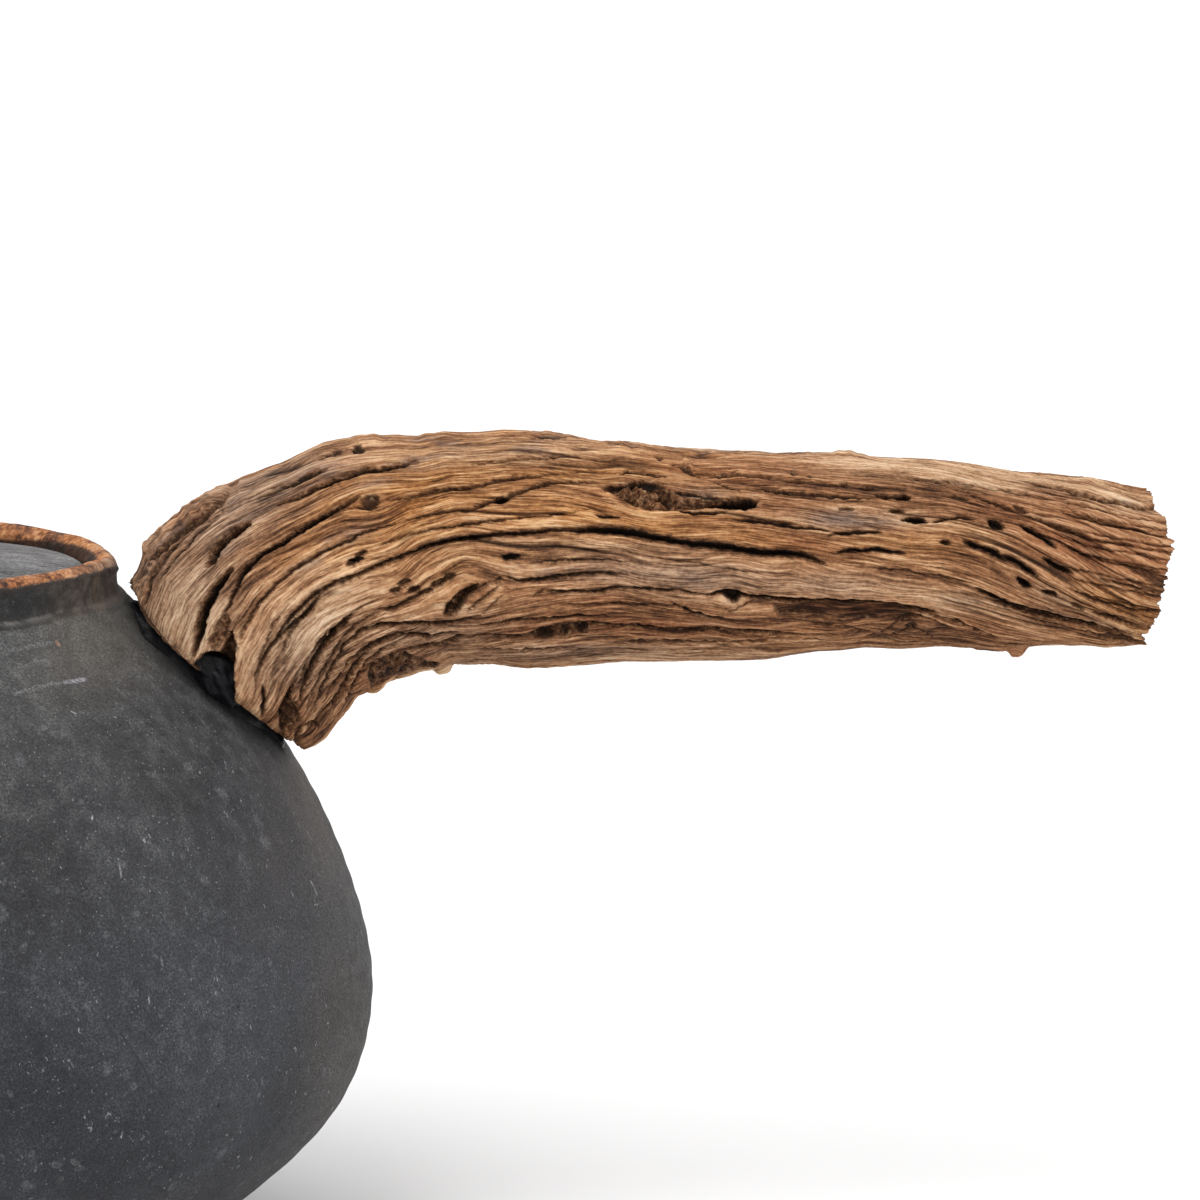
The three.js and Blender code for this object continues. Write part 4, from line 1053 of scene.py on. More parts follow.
side = spline(OUTER, 10)
neck = np.exp(-(((side[:, 1] - 84.35) / 0.33) ** 2)) * (side[:, 0] > 30) - 0.9 * np.exp(-(((side[:, 1] - 83.5) / 0.35) ** 2)) * (side[:, 0] > 31.8)
side[:, 0] += 0.20 * neck
nrm = np.gradient(side[: 17 * 10], axis=0)
nrm = unit(np.stack([nrm[:, 1], -nrm[:, 0]], -1))
inside = (side[: 17 * 10] - nrm * 3.0)
inside = inside[(inside[:, 1] > 6.2) & (inside[:, 1] < 78.8)]
inside[:, 0] += 0.12 * np.sin(inside[:, 1] * 1.15)
profile = np.vstack([
    [(0, 0), (12, 0), (24, 0), (34.8, 0)], side[1:],
    [(28.0, 86.2), (28.0, 85.4), (27.95, 84.85), (27.7, 84.7), (26, 84.7), (24, 84.7), (23.6, 84.62), (23.5, 84.3), (23.5, 83.2), (23.6, 82.5), (24.4, 82.0), (26.5, 81.4), (29.2, 80.6), (31.0, 79.9)],
    inside[::-1], [(38.6, 5.1), (36.8, 4.3), (34.5, 4.0), (22, 4.0), (10, 4.0), (0, 4.0)],
])
pot = lathe("stoneware_pot", profile, 420, thrown)
SPOUT_ANGLE = math.radians(46)
SPOUT_AXIS = np.array([0, -math.cos(SPOUT_ANGLE), math.sin(SPOUT_ANGLE)])
SPOUT_SIDE = np.array([1.0, 0, 0])
SPOUT_UP = np.cross(SPOUT_SIDE, SPOUT_AXIS)
SPOUT_ROOT = np.array([0, -56.3, 57.0])


def tube(profile, segments, origin, axis, a1, a2):
    """A profile [radius, distance along the axis] revolved round any axis."""
    ang = np.arange(segments) / segments * 2 * math.pi
    p = np.asarray(profile, float)
    ring = np.cos(ang)[:, None] * a1 + np.sin(ang)[:, None] * a2
    return origin + p[:, None, 0, None] * ring[None] + p[:, None, 1, None] * axis


hole = rings_mesh("cut", tube([(9.6, -15), (9.6, 15)], 64, SPOUT_ROOT, SPOUT_AXIS, SPOUT_SIDE, SPOUT_UP), (SPOUT_ROOT - SPOUT_AXIS * 15, SPOUT_ROOT + SPOUT_AXIS * 15))
boolean(pot, hole)
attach(pot, "pot")
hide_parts("pot_foot", "pot_belly", "pot_shoulder", "pot_collar")

# spout: flared where it is luted to the wall, with a soft rounded mouth
out = spline([(17.6, -13), (17.2, -8), (16.4, -4), (14.9, 0), (13.3, 4), (11.9, 8.5), (10.4, 15), (9.1, 23), (8.15, 31), (7.6, 38), (7.5, 45)], 12)
inn = spline([(5.4, 45), (5.35, 38), (5.9, 30), (7.2, 20), (9.0, 10), (10.4, 2), (11.0, -4), (11.2, -9)], 8)
seg = 160
outer = tube(out, seg, SPOUT_ROOT, SPOUT_AXIS, SPOUT_SIDE, SPOUT_UP)
inner_wall = tube(inn, seg, SPOUT_ROOT, SPOUT_AXIS, SPOUT_SIDE, SPOUT_UP)
lean = math.radians(14)
cut_n = np.array([0, -math.sin(lean), math.cos(lean)])
cut_p = SPOUT_ROOT + SPOUT_AXIS * 40.0 + np.array([0, 0, 0.2])


def trim(p):
    """Slides the rings beyond the mouth back along the axis to the mouth's plane."""
    h = (p - cut_p) @ cut_n
    back = np.maximum(h, 0) / (SPOUT_AXIS @ cut_n)
    return p - back[..., None] * SPOUT_AXIS


outer, inner_wall = trim(outer), trim(inner_wall)
keep_o = ((outer - cut_p) @ cut_n).mean(1) < -0.05
outer = outer[keep_o]
keep_i = ((inner_wall - cut_p) @ cut_n).mean(1) < -0.05
inner_wall = inner_wall[keep_i]
end_o, end_i = trim(tube([(7.5, 46)], seg, SPOUT_ROOT, SPOUT_AXIS, SPOUT_SIDE, SPOUT_UP))[0], trim(tube([(5.4, 46)], seg, SPOUT_ROOT, SPOUT_AXIS, SPOUT_SIDE, SPOUT_UP))[0]
# drop rings that bunch up on the mouth's plane, then round the lip over
outer = outer[: max(len(outer) - 6, 4)]
inner_wall = inner_wall[4:]
w = np.linspace(0, math.pi, 11)[:, None, None]
middle, half_lip = (end_o + end_i) / 2, (end_o - end_i) / 2
lip = middle[None] + np.cos(w) * half_lip[None] + np.sin(w) * 0.75 * cut_n - cut_n * 0.75
rings_s = np.concatenate([outer, lip, inner_wall])
marks = Noise(61)
axial = (rings_s - SPOUT_ROOT) @ SPOUT_AXIS
radial = unit(rings_s - SPOUT_ROOT - axial[..., None] * SPOUT_AXIS)
rings_s = rings_s + radial * (0.10 * marks(radial[..., 0] * 1.5, radial[..., 2] * 1.5, axial / 5) + 0.04 * np.sin(axial * 1.6))[..., None]
SINK = np.full((len(rings_s), 1), 0.08)
SINK[: len(outer), 0] -= 0.55 * smooth(out[: len(outer), 0], 16.2, 17.5)
rings_s = keep_off_pot(rings_s, SINK)
spout = rings_mesh("stoneware_spout", rings_s)
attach(spout, "pot")
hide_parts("spout")

# ------------------------------------------------------------------ the lid
lid_top = spline([(27.2, 87.0), (26.9, 87.45), (26.3, 87.75), (24, 88.1), (21, 88.42), (16.5, 88.75), (12, 88.98), (6.5, 89.14), (0, 89.2)], 10)
lid_noise = Noise(71)


def turned(r, z, a):
    x, y = np.cos(a), np.sin(a)
    upper = smooth(z, 86.9, 87.6)
    return r, z + upper * (0.012 * np.sin(r * 2.6 + 1.2 * lid_noise(x, y, r / 8)) * smooth(r, 2, 6) + 0.05 * lid_noise(r * x / 6, r * y / 6, 1.2))


lid_profile = np.vstack([[(0, 85.0), (14, 85.0), (26.4, 85.0), (26.7, 85.05), (27.05, 85.3), (27.2, 85.65)], lid_top])
lid = lathe("lid", lid_profile, 320, turned)
vent = lathe("cut", [(0, 80), (1.4, 80), (1.4, 95), (0, 95)], 40)
vent.data.transform(Matrix.Translation((-14.5 * MM, 0, 0)))
boolean(lid, vent)
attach(lid, "lid")
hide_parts("lid_plate")
knob_profile = spline([(0.001, 89.5), (3.5, 89.5), (6.1, 89.5), (6.2, 89.7), (5.5, 90.6), (4.95, 91.8), (4.85, 93.2), (5.2, 94.6), (6.3, 96.0), (7.7, 97.2), (8.7, 98.4), (9.0, 99.6), (8.8, 100.8), (8.0, 101.9), (6.5, 102.7), (4.6, 103.0), (2.6, 102.7), (0.001, 102.45)], 8)
knob_profile[0, 0] = knob_profile[-1, 0] = 0
knob_noise = Noise(81)
knob = lathe("knob", knob_profile, 180, lambda r, z, a: (r + smooth(z, 89.8, 91) * (0.09 * knob_noise(np.cos(a) * 1.4, np.sin(a) * 1.4, z / 4) + 0.03 * np.sin(z * 5)), z))
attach(knob, "lid")
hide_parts("lid_knob")


# ------------------------------------------------------------------ materials
def srgb(r, g, b):
    f = lambda c: (c / 255 / 12.92) if c / 255 <= 0.04045 else ((c / 255 + 0.055) / 1.055) ** 2.4
    return (f(r), f(g), f(b), 1.0)


class Nodes:
    """Short names for building a node tree."""

    def __init__(self, name):
        self.mat = bpy.data.materials.new(name)
        self.mat.use_nodes = True
        self.t = self.mat.node_tree
        self.t.nodes.clear()
        self.out = self.t.nodes.new("ShaderNodeOutputMaterial")
        self.bsdf = self.t.nodes.new("ShaderNodeBsdfPrincipled")
        self.t.links.new(self.bsdf.outputs[0], self.out.inputs[0])

    def put(self, socket, value):
        if isinstance(value, bpy.types.NodeSocket):
            self.t.links.new(value, socket)
        elif value is not None:
            socket.default_value = value

    def attr(self, name, kind="Fac"):
        n = self.t.nodes.new("ShaderNodeAttribute")
        n.attribute_type = "GEOMETRY"
        n.attribute_name = name
        return n.outputs[kind]

    def coords(self):
        return self.t.nodes.new("ShaderNodeTexCoord").outputs["Object"]

    def scaled(self, vec, scale, turn=(0, 0, 0), shift=(0, 0, 0)):
        n = self.t.nodes.new("ShaderNodeMapping")
        self.put(n.inputs["Vector"], vec)
        n.inputs["Scale"].default_value = scale
        n.inputs["Rotation"].default_value = turn
        n.inputs["Location"].default_value = shift
        return n.outputs[0]

    def noise(self, vec, scale, detail=3.0, rough=0.55, distortion=0.0):
        n = self.t.nodes.new("ShaderNodeTexNoise")
        self.put(n.inputs["Vector"], vec)
        n.inputs["Scale"].default_value = scale
        n.inputs["Detail"].default_value = detail
        n.inputs["Roughness"].default_value = rough
        n.inputs["Distortion"].default_value = distortion
        return n.outputs["Fac"]

    def voronoi(self, vec, scale, feature="F1", out="Distance", random=1.0):
        n = self.t.nodes.new("ShaderNodeTexVoronoi")
        n.feature = feature
        self.put(n.inputs["Vector"], vec)
        n.inputs["Scale"].default_value = scale
        n.inputs["Randomness"].default_value = random
        return n.outputs[out]

    def ramp(self, fac, stops, mode="LINEAR"):
        n = self.t.nodes.new("ShaderNodeValToRGB")
        n.color_ramp.interpolation = mode
        el = n.color_ramp.elements
        while len(el) < len(stops):
            el.new(0.5)
        for e, (pos, col) in zip(el, stops):
            e.position = pos
            e.color = col if len(col) == 4 else (*col, 1)
        self.put(n.inputs[0], fac)
        return n.outputs[0]

    def band(self, fac, lo, hi, to_lo=0.0, to_hi=1.0):
        n = self.t.nodes.new("ShaderNodeMapRange")
        n.interpolation_type = "SMOOTHSTEP"
        self.put(n.inputs["Value"], fac)
        n.inputs["From Min"].default_value = lo
        n.inputs["From Max"].default_value = hi
        n.inputs["To Min"].default_value = to_lo
        n.inputs["To Max"].default_value = to_hi
        return n.outputs[0]

    def math(self, op, a, b=None):
        n = self.t.nodes.new("ShaderNodeMath")
        n.operation = op
        self.put(n.inputs[0], a)
        if b is not None:
            self.put(n.inputs[1], b)
        return n.outputs[0]

    def mix(self, fac, a, b, blend="MIX"):
        n = self.t.nodes.new("ShaderNodeMix")
        n.data_type = "RGBA"
        n.blend_type = blend
        self.put(n.inputs[0], fac)
        self.put(n.inputs[6], a)
        self.put(n.inputs[7], b)
        return n.outputs[2]

    def split(self, vec, axis):
        n = self.t.nodes.new("ShaderNodeSeparateXYZ")
        self.put(n.inputs[0], vec)
        return n.outputs[axis]

    def warped(self, vec, scale, amount):
        """Coordinates shaken by noise."""
        n = self.t.nodes.new("ShaderNodeTexNoise")
        self.put(n.inputs["Vector"], vec)
        n.inputs["Scale"].default_value = scale
        n.inputs["Detail"].default_value = 1.0
        v = self.t.nodes.new("ShaderNodeVectorMath")
        v.operation = "MULTIPLY_ADD"
        self.put(v.inputs[0], n.outputs["Color"])
        v.inputs[1].default_value = (amount, amount, amount)
        self.put(v.inputs[2], vec)
        w = self.t.nodes.new("ShaderNodeVectorMath")
        w.operation = "SUBTRACT"
        self.put(w.inputs[0], v.outputs[0])
        w.inputs[1].default_value = (amount / 2, amount / 2, amount / 2)
        return w.outputs[0]

    def segment(self, vec, a, b):
        """Distance from the segment a to b, in metres."""
        a, b = Vector(a) * MM, Vector(b) * MM
        ab = b - a
        rel = self.t.nodes.new("ShaderNodeVectorMath")
        rel.operation = "SUBTRACT"
        self.put(rel.inputs[0], vec)
        rel.inputs[1].default_value = a
        dot = self.t.nodes.new("ShaderNodeVectorMath")
        dot.operation = "DOT_PRODUCT"
        self.put(dot.inputs[0], rel.outputs[0])
        dot.inputs[1].default_value = ab / max(ab.length_squared, 1e-12)
        part = self.t.nodes.new("ShaderNodeMath")
        part.operation = "MULTIPLY"
        part.use_clamp = True
        self.put(part.inputs[0], dot.outputs["Value"])
        part.inputs[1].default_value = 1.0
        run = self.t.nodes.new("ShaderNodeVectorMath")
        run.operation = "SCALE"
        run.inputs[0].default_value = ab
        self.put(run.inputs["Scale"], part.outputs[0])
        d = self.t.nodes.new("ShaderNodeVectorMath")
        d.operation = "DISTANCE"
        self.put(d.inputs[0], rel.outputs[0])
        self.put(d.inputs[1], run.outputs[0])
        return d.outputs["Value"]

    def bump(self, height, distance, strength=1.0, normal=None):
        n = self.t.nodes.new("ShaderNodeBump")
        n.inputs["Strength"].default_value = strength
        n.inputs["Distance"].default_value = distance
        self.put(n.inputs["Height"], height)
        if normal is not None:
            self.put(n.inputs["Normal"], normal)
        return n.outputs[0]

    def finish(self, color, roughness, normal=None, specular=0.35):
        self.put(self.bsdf.inputs["Base Color"], color)
        self.put(self.bsdf.inputs["Roughness"], roughness)
        self.bsdf.inputs["Specular IOR Level"].default_value = specular
        if normal is not None:
            self.put(self.bsdf.inputs["Normal"], normal)
        return self.mat


def wear(obj, mat):
    obj.data.materials.clear()
    obj.data.materials.append(mat)


def driftwood_material():
    m = Nodes("weathered_driftwood")
    g = m.attr("grain", "Vector")
    c = m.coords()
    fine = m.band(m.noise(m.scaled(g, (1 / 0.36, 1 / 0.36, 1 / 6.0)), 1.0, 3.0, 0.66), 0.34, 0.66)
    hair = m.band(m.noise(m.scaled(g, (1 / 0.17, 1 / 0.17, 1 / 2.6)), 1.0, 2.0, 0.6), 0.36, 0.64)
    broad = m.band(m.noise(m.scaled(g, (1 / 1.6, 1 / 1.6, 1 / 18.0)), 1.0, 3.0, 0.6), 0.32, 0.68)
    speck = m.band(m.noise(c, 1900.0, 3.0, 0.7), 0.34, 0.66)
    fleck = m.voronoi(m.scaled(g, (1 / 0.36, 1 / 0.36, 1 / 2.2)), 1.0)
    # the ridge attribute adds painted highlight on ridges and painted shade in valleys
    value = m.math("ADD", m.math("MULTIPLY", m.attr("tone"), 0.19), m.math("MULTIPLY", m.attr("ridge_shading_and_streaks"), 0.24))
    value = m.math("ADD", value, m.math("MULTIPLY", fine, 0.25))
    value = m.math("ADD", value, m.math("MULTIPLY", hair, 0.19))
    value = m.math("ADD", value, m.math("MULTIPLY", broad, 0.17))
    value = m.math("ADD", value, m.math("MULTIPLY", speck, 0.09))
    still = m.math("MULTIPLY", m.attr("calm"), 0.50)
    grit = m.math("ADD", m.math("ADD", m.math("MULTIPLY", speck, 0.12), m.math("MULTIPLY", hair, 0.24)), 0.39)
    value = m.math("ADD", m.math("MULTIPLY", value, m.math("SUBTRACT", 1.0, still)), m.math("MULTIPLY", still, grit))
    stops = (0.275, 0.435, 0.575, 0.715, 0.895)
    tints = {
        "plain": ((54, 33, 21), (102, 67, 43), (146, 101, 68), (180, 134, 95), (212, 172, 134)),
        "gold": ((62, 35, 17), (118, 72, 36), (164, 108, 59), (198, 143, 87), (226, 182, 129)),
        "red": ((44, 24, 15), (88, 50, 30), (126, 76, 47), (158, 103, 68), (188, 138, 100)),
        "grey": ((60, 45, 36), (104, 81, 65), (144, 115, 93), (176, 147, 122), (206, 180, 155)),
        "pale": ((96, 66, 45), (152, 115, 84), (194, 156, 120), (222, 189, 154), (240, 217, 188)),
    }
    ramps = {k: m.ramp(value, [(p, srgb(*v)) for p, v in zip(stops, t)]) for k, t in tints.items()}
    uneven = m.band(m.noise(m.scaled(g, (0.45, 0.45, 0.09)), 1.0, 3.0, 0.6), 0.35, 0.65, 0.5, 1.0)
    col = m.mix(m.math("MULTIPLY", m.attr("gold"), uneven), ramps["plain"], ramps["gold"])
    col = m.mix(m.math("MULTIPLY", m.attr("grey"), 0.85), col, ramps["grey"])
    col = m.mix(m.math("MULTIPLY", m.attr("red"), 0.9), col, ramps["red"])
    col = m.mix(m.math("MULTIPLY", m.attr("pale"), 0.8), col, ramps["pale"])
    # dull purple brown where bark clung
    clung = m.band(m.noise(m.scaled(g, (0.40, 0.40, 0.15), (0, 0, 0), (3.1, 1.7, 0.4)), 1.0, 4.0, 0.65), 0.44, 0.56)
    col = m.mix(m.math("MULTIPLY", m.math("MULTIPLY", clung, m.attr("stain")), 0.9), col, m.ramp(value, [(0.25, srgb(40, 29, 27)), (0.55, srgb(88, 70, 63)), (0.8, srgb(146, 122, 110))]))
    # crumbled wood in the hollows has no grain
    crumb = m.attr("crumb")
    bits = m.noise(c, 1500.0, 4.0, 0.7)
    rot = m.ramp(bits, [(0.36, srgb(48, 28, 18)), (0.46, srgb(106, 68, 44)), (0.55, srgb(152, 108, 74)), (0.66, srgb(204, 164, 126))])
    col = m.mix(m.math("MULTIPLY", crumb, 0.8), col, rot)
    # dirt and painted shade in cracks, holes and where the root comes near the pot, from the dark attribute
    dirt_and_shade = m.band(m.attr("dark"), 0.12, 0.98)
    col = m.mix(m.math("MULTIPLY", dirt_and_shade, 0.96), col, srgb(18, 11, 7))
    pores = m.band(fleck, 0.10, 0.26, 0.45, 0.0)
    col = m.mix(pores, col, srgb(48, 30, 19))
    h = m.math("ADD", m.math("MULTIPLY", fine, 0.34), m.math("MULTIPLY", hair, 0.20))
    h = m.math("ADD", h, m.math("MULTIPLY", speck, 0.10))
    h = m.math("SUBTRACT", h, m.math("MULTIPLY", pores, 0.4))
    h = m.math("ADD", h, m.math("MULTIPLY", m.math("MULTIPLY", bits, crumb), 1.6))
    h = m.math("MULTIPLY", h, m.math("SUBTRACT", 1.0, m.math("MULTIPLY", dirt_and_shade, 0.8)))
    rough = m.band(fine, 0.2, 0.8, 0.92, 0.78)
    return m.finish(col, rough, m.bump(h, 0.00036, 0.9), 0.18)


def on_pot(x, y):
    """The point of the pot's wall seen at an image position, in millimetres."""
    az = np.radians(np.linspace(-178, -2, 881))
    wall = SIDE_UP[:: 2]
    pts = np.stack([wall[:, None, 0] * np.cos(az), wall[:, None, 0] * np.sin(az), np.broadcast_to(wall[:, None, 1], (len(wall), len(az)))], -1)
    qx, qy = project(pts)
    front = (pts[..., 0] * VIEW[0] + pts[..., 1] * VIEW[1]) < 0
    k = np.unravel_index(np.argmin((qx - x) ** 2 + (qy - y) ** 2 + np.where(front, 0, 1e6)), qx.shape)
    return pts[k]


def stoneware_material(rust=True):
    m = Nodes("dark_stoneware" if rust else "dark_stoneware_plain")
    c = m.coords()
    z = m.split(c, 2)
    cloud = m.band(m.noise(c, 38.0, 3.0, 0.55), 0.34, 0.66)
    mottle = m.band(m.noise(m.scaled(c, (1, 1, 1), (0, 0, 0), (0.3, 0.1, 0.7)), 420.0, 4.0, 0.62), 0.34, 0.66)
    sand = m.band(m.noise(c, 3600.0, 3.0, 0.8), 0.33, 0.67)
    value = m.math("ADD", m.math("ADD", m.math("MULTIPLY", cloud, 0.18), 0.045), m.math("ADD", m.math("MULTIPLY", mottle, 0.24), m.math("MULTIPLY", sand, 0.47)))
    col = m.ramp(value, [(0.10, srgb(29, 29, 30)), (0.35, srgb(45, 45, 46)), (0.55, srgb(55, 55, 56)), (0.75, srgb(70, 70, 70)), (0.95, srgb(94, 94, 93))])
    cool = m.band(m.noise(c, 14.0, 2.0, 0.5), 0.40, 0.62, 0.05, 0.50)
    col = m.mix(cool, col, m.ramp(value, [(0.10, srgb(28, 30, 35)), (0.55, srgb(52, 55, 63)), (0.95, srgb(91, 94, 102))]))
    warm = m.band(m.noise(m.scaled(c, (1, 1, 1), (0, 0, 0), (2.3, 1.1, 0.7)), 18.0, 3.0, 0.55), 0.54, 0.70, 0.0, 0.5)
    col = m.mix(warm, col, m.ramp(value, [(0.10, srgb(36, 33, 30)), (0.55, srgb(66, 62, 57)), (0.95, srgb(106, 101, 94))]))
    # painted shade darker towards the foot, painted light lighter towards the neck
    foot_shade = m.band(m.math("ADD", z, m.math("MULTIPLY", cloud, 0.012)), 0.002, 0.048, 0.42, 0.0)
    col = m.mix(foot_shade, col, srgb(20, 20, 24))
    shoulder_light = m.band(m.math("ADD", z, m.math("MULTIPLY", mottle, 0.010)), 0.058, 0.090, 0.0, 0.42)
    col = m.mix(shoulder_light, col, m.ramp(value, [(0.10, srgb(50, 49, 48)), (0.55, srgb(84, 84, 83)), (0.95, srgb(132, 131, 129))]))
    # dust and painted rim light in the grain of the side where the handle is, browner below it
    side = m.band(m.split(c, 0), 0.050, 0.062)
    col = m.mix(m.math("MULTIPLY", side, m.band(sand, 0.35, 0.85, 0.0, 0.22)), col, srgb(118, 113, 109))
    # warm brown: dust with painted rim light
    warm_dust_and_rim_light = m.math("MULTIPLY", m.math("MULTIPLY", m.band(m.split(c, 0), 0.044, 0.058), m.band(z, 0.042, 0.062)), m.band(m.math("ADD", m.math("MULTIPLY", cloud, 0.5), m.math("MULTIPLY", sand, 0.5)), 0.2, 0.8, 0.02, 0.20))
    col = m.mix(warm_dust_and_rim_light, col, srgb(128, 108, 94))
    # blistered pale rings and blots in the skin
    for shift, scale, chance in ((1.7, 190.0, 0.47), (5.3, 340.0, 0.50)):
        sc = m.scaled(m.warped(c, 500.0, 0.0016), (1, 1, 1), (0, 0, 0), (shift, 0.2, 0.4))
        blob = m.voronoi(sc, scale)
        pick = m.band(m.noise(sc, scale * 0.6, 2.0, 0.5), chance, chance + 0.06)
        halo = m.math("MULTIPLY", m.math("MULTIPLY", m.band(blob, 0.02, 0.11, 0.35, 1.0), m.band(blob, 0.12, 0.22, 1.0, 0.0)), pick)
        halo = m.math("MULTIPLY", halo, m.band(sand, 0.2, 0.8, 0.35, 1.0))
        col = m.mix(m.math("MULTIPLY", halo, 0.27), col, srgb(132, 133, 135))
    # white specks
    for scale, size, chance, strength, shift in ((480.0, 0.050, 0.49, 0.36, 0.0), (1250.0, 0.095, 0.48, 0.50, 3.3), (240.0, 0.028, 0.51, 0.45, 6.1), (900.0, 0.075, 0.47, 0.42, 8.4)):
        sc = m.scaled(c, (1, 1, 1), (0, 0, 0), (shift, shift * 0.7, shift * 1.3))
        v = m.voronoi(sc, scale)
        on = m.band(m.noise(sc, scale * 0.35, 2.0, 0.6), chance - 0.03, chance + 0.05)
        spot = m.math("MULTIPLY", m.band(v, size * 0.6, size * 1.5, 1.0, 0.0), on)
        col = m.mix(m.math("MULTIPLY", spot, strength), col, srgb(168, 168, 168))
    # short curled hair scratches
    for k, (turn, shift) in enumerate((((0.3, 0.9, 0.2), 1.1), ((1.2, 0.1, 0.8), 4.2), ((0.7, 1.9, 1.4), 7.7), ((2.1, 0.4, 2.2), 2.9))):
        sc = m.scaled(m.warped(c, 900.0, 0.0009 + 0.0003 * k), (560.0, 560.0, 110.0), turn, (shift, shift, shift))
        v = m.voronoi(sc, 1.0)
        on = m.band(m.noise(m.scaled(c, (1, 1, 1), (0, 0, 0), (shift, 0, 0)), 95.0, 2.0, 0.6), 0.46, 0.58)
        col = m.mix(m.math("MULTIPLY", m.math("MULTIPLY", m.band(v, 0.030, 0.080, 1.0, 0.0), on), 0.78), col, srgb(162, 163, 164))
    for turn, shift in (((0.9, 0.5, 1.7), 12.3), ((2.6, 1.3, 0.5), 15.8)):
        sc = m.scaled(m.warped(c, 1300.0, 0.0013), (900.0, 900.0, 210.0), turn, (shift, shift, shift))
        on = m.band(m.noise(m.scaled(c, (1, 1, 1), (0, 0, 0), (shift, 0, 0)), 120.0, 2.0, 0.6), 0.50, 0.60)
        col = m.mix(m.math("MULTIPLY", m.math("MULTIPLY", m.band(m.voronoi(sc, 1.0), 0.045, 0.110, 1.0, 0.0), on), 0.6), col, srgb(150, 151, 153))
    # faint dark runs down the side
    run = m.noise(m.scaled(c, (70.0, 70.0, 9.0)), 1.0, 3.0, 0.55, 0.6)
    vein = m.math("SUBTRACT", 1.0, m.band(m.math("ABSOLUTE", m.math("SUBTRACT", run, 0.5)), 0.0, 0.010))
    vein_on = m.band(m.noise(c, 26.0, 2.0, 0.5), 0.56, 0.66)
    col = m.mix(m.math("MULTIPLY", m.math("MULTIPLY", vein, vein_on), 0.30), col, srgb(22, 22, 24))
    pit = m.voronoi(m.scaled(c, (1, 1, 1), (0, 0, 0), (9.7, 5.2, 0.4)), 150.0)
    pits = m.math("MULTIPLY", m.band(pit, 0.025, 0.06, 1.0, 0.0), m.band(m.noise(c, 80.0, 1.0, 0.5), 0.50, 0.56))
    col = m.mix(m.math("MULTIPLY", pits, 0.75), col, srgb(16, 15, 15))
    height = m.math("ADD", m.math("MULTIPLY", sand, 0.30), m.math("MULTIPLY", m.noise(c, 330.0, 3.0, 0.6), 0.9))
    height = m.math("ADD", height, m.math("MULTIPLY", m.noise(c, 1100.0, 2.0, 0.6), 0.42))
    height = m.math("SUBTRACT", height, m.math("MULTIPLY", pits, 1.0))
    rough = m.band(mottle, 0.2, 0.8, 0.66, 0.86)
    if rust:
        shaken = m.warped(c, 700.0, 0.0006)
        # chalky scuffs, dark hairlines and pits where the photograph has them
        for x0, y0, x1, y1, wide, tone, amount in (
            (8, 651, 50, 642, 2.2, (132, 132, 134), 0.45), (14, 696, 43, 687, 2.4, (132, 132, 134), 0.45), (66, 682, 84, 678, 2.4, (172, 170, 180), 0.75), (48, 686, 66, 682, 2.0, (150, 149, 156), 0.45), (20, 668, 44, 662, 1.4, (118, 118, 120), 0.4),
            (57, 643, 58, 644, 2.2, (196, 140, 112), 0.9), (128, 930, 131, 965, 0.8, (24, 24, 26), 0.6), (172, 936, 184, 962, 0.8, (24, 24, 26), 0.6), (184, 962, 198, 997, 0.8, (24, 24, 26), 0.6),
            (118, 1032, 142, 1066, 0.9, (22, 22, 24), 0.6), (142, 1066, 156, 1105, 0.9, (22, 22, 24), 0.6), (156, 1105, 159, 1146, 0.9, (22, 22, 24), 0.5),
            (237, 1006, 238, 1006, 1.8, (12, 12, 12), 0.95), (179, 1178, 180, 1178, 2.0, (12, 12, 12), 0.95), (225, 1162, 226, 1163, 1.6, (12, 12, 12), 0.9),
            (313, 884, 316, 892, 1.1, (176, 177, 178), 0.9), (318, 900, 316, 906, 0.8, (160, 161, 162), 0.8), (160, 955, 163, 965, 1.0, (170, 170, 172), 0.8), (118, 855, 120, 872, 0.9, (150, 150, 152), 0.7),
        ):
            d = m.segment(shaken, on_pot(x0, y0), on_pot(x1, y1))
            near = m.band(d, wide * 0.35e-3 / 4, wide * 1.5e-3 / 8, 1.0, 0.0)
            if amount > 0.72 or wide < 1.2:
                near = m.math("MULTIPLY", near, m.math("MULTIPLY", m.band(sand, 0.15, 0.7, 0.25, 1.0), m.band(mottle, 0.2, 0.6, 0.5, 1.0)))
            else:
                near = m.math("MULTIPLY", near, m.band(sand, 0.3, 0.8, 0.1, 1.0))
            col = m.mix(m.math("MULTIPLY", near, amount), col, srgb(*tone))
        # resin soaked into the clay along the joint, and painted shadow under the root's edge
        joint = [on_pot(x, y) for x, y in ((133, 611), (146, 634), (166, 652), (190, 668), (214, 686), (238, 706), (258, 723), (281, 744))]
        for k, (p, q) in enumerate(zip(joint, joint[1:])):
            joint_shade = m.segment(m.warped(c, 260.0, 0.0011), p, q)
            col = m.mix(m.band(joint_shade, 0.0006, 0.0021, 0.9, 0.0), col, srgb(13, 12, 12))
        # a fingerprint left in the slip
        d = m.segment(m.warped(c, 150.0, 0.0012), on_pot(70, 722), on_pot(70.5, 722))
        lines = m.math("SINE", m.math("MULTIPLY", d, 2 * math.pi / 0.00052))
        here = m.band(m.segment(c, on_pot(80, 700), on_pot(98, 700)), 0.0014, 0.0030, 1.0, 0.0)
        col = m.mix(m.math("MULTIPLY", here, m.band(lines, -0.6, 0.9, 0.0, 0.38)), col, srgb(34, 34, 35))
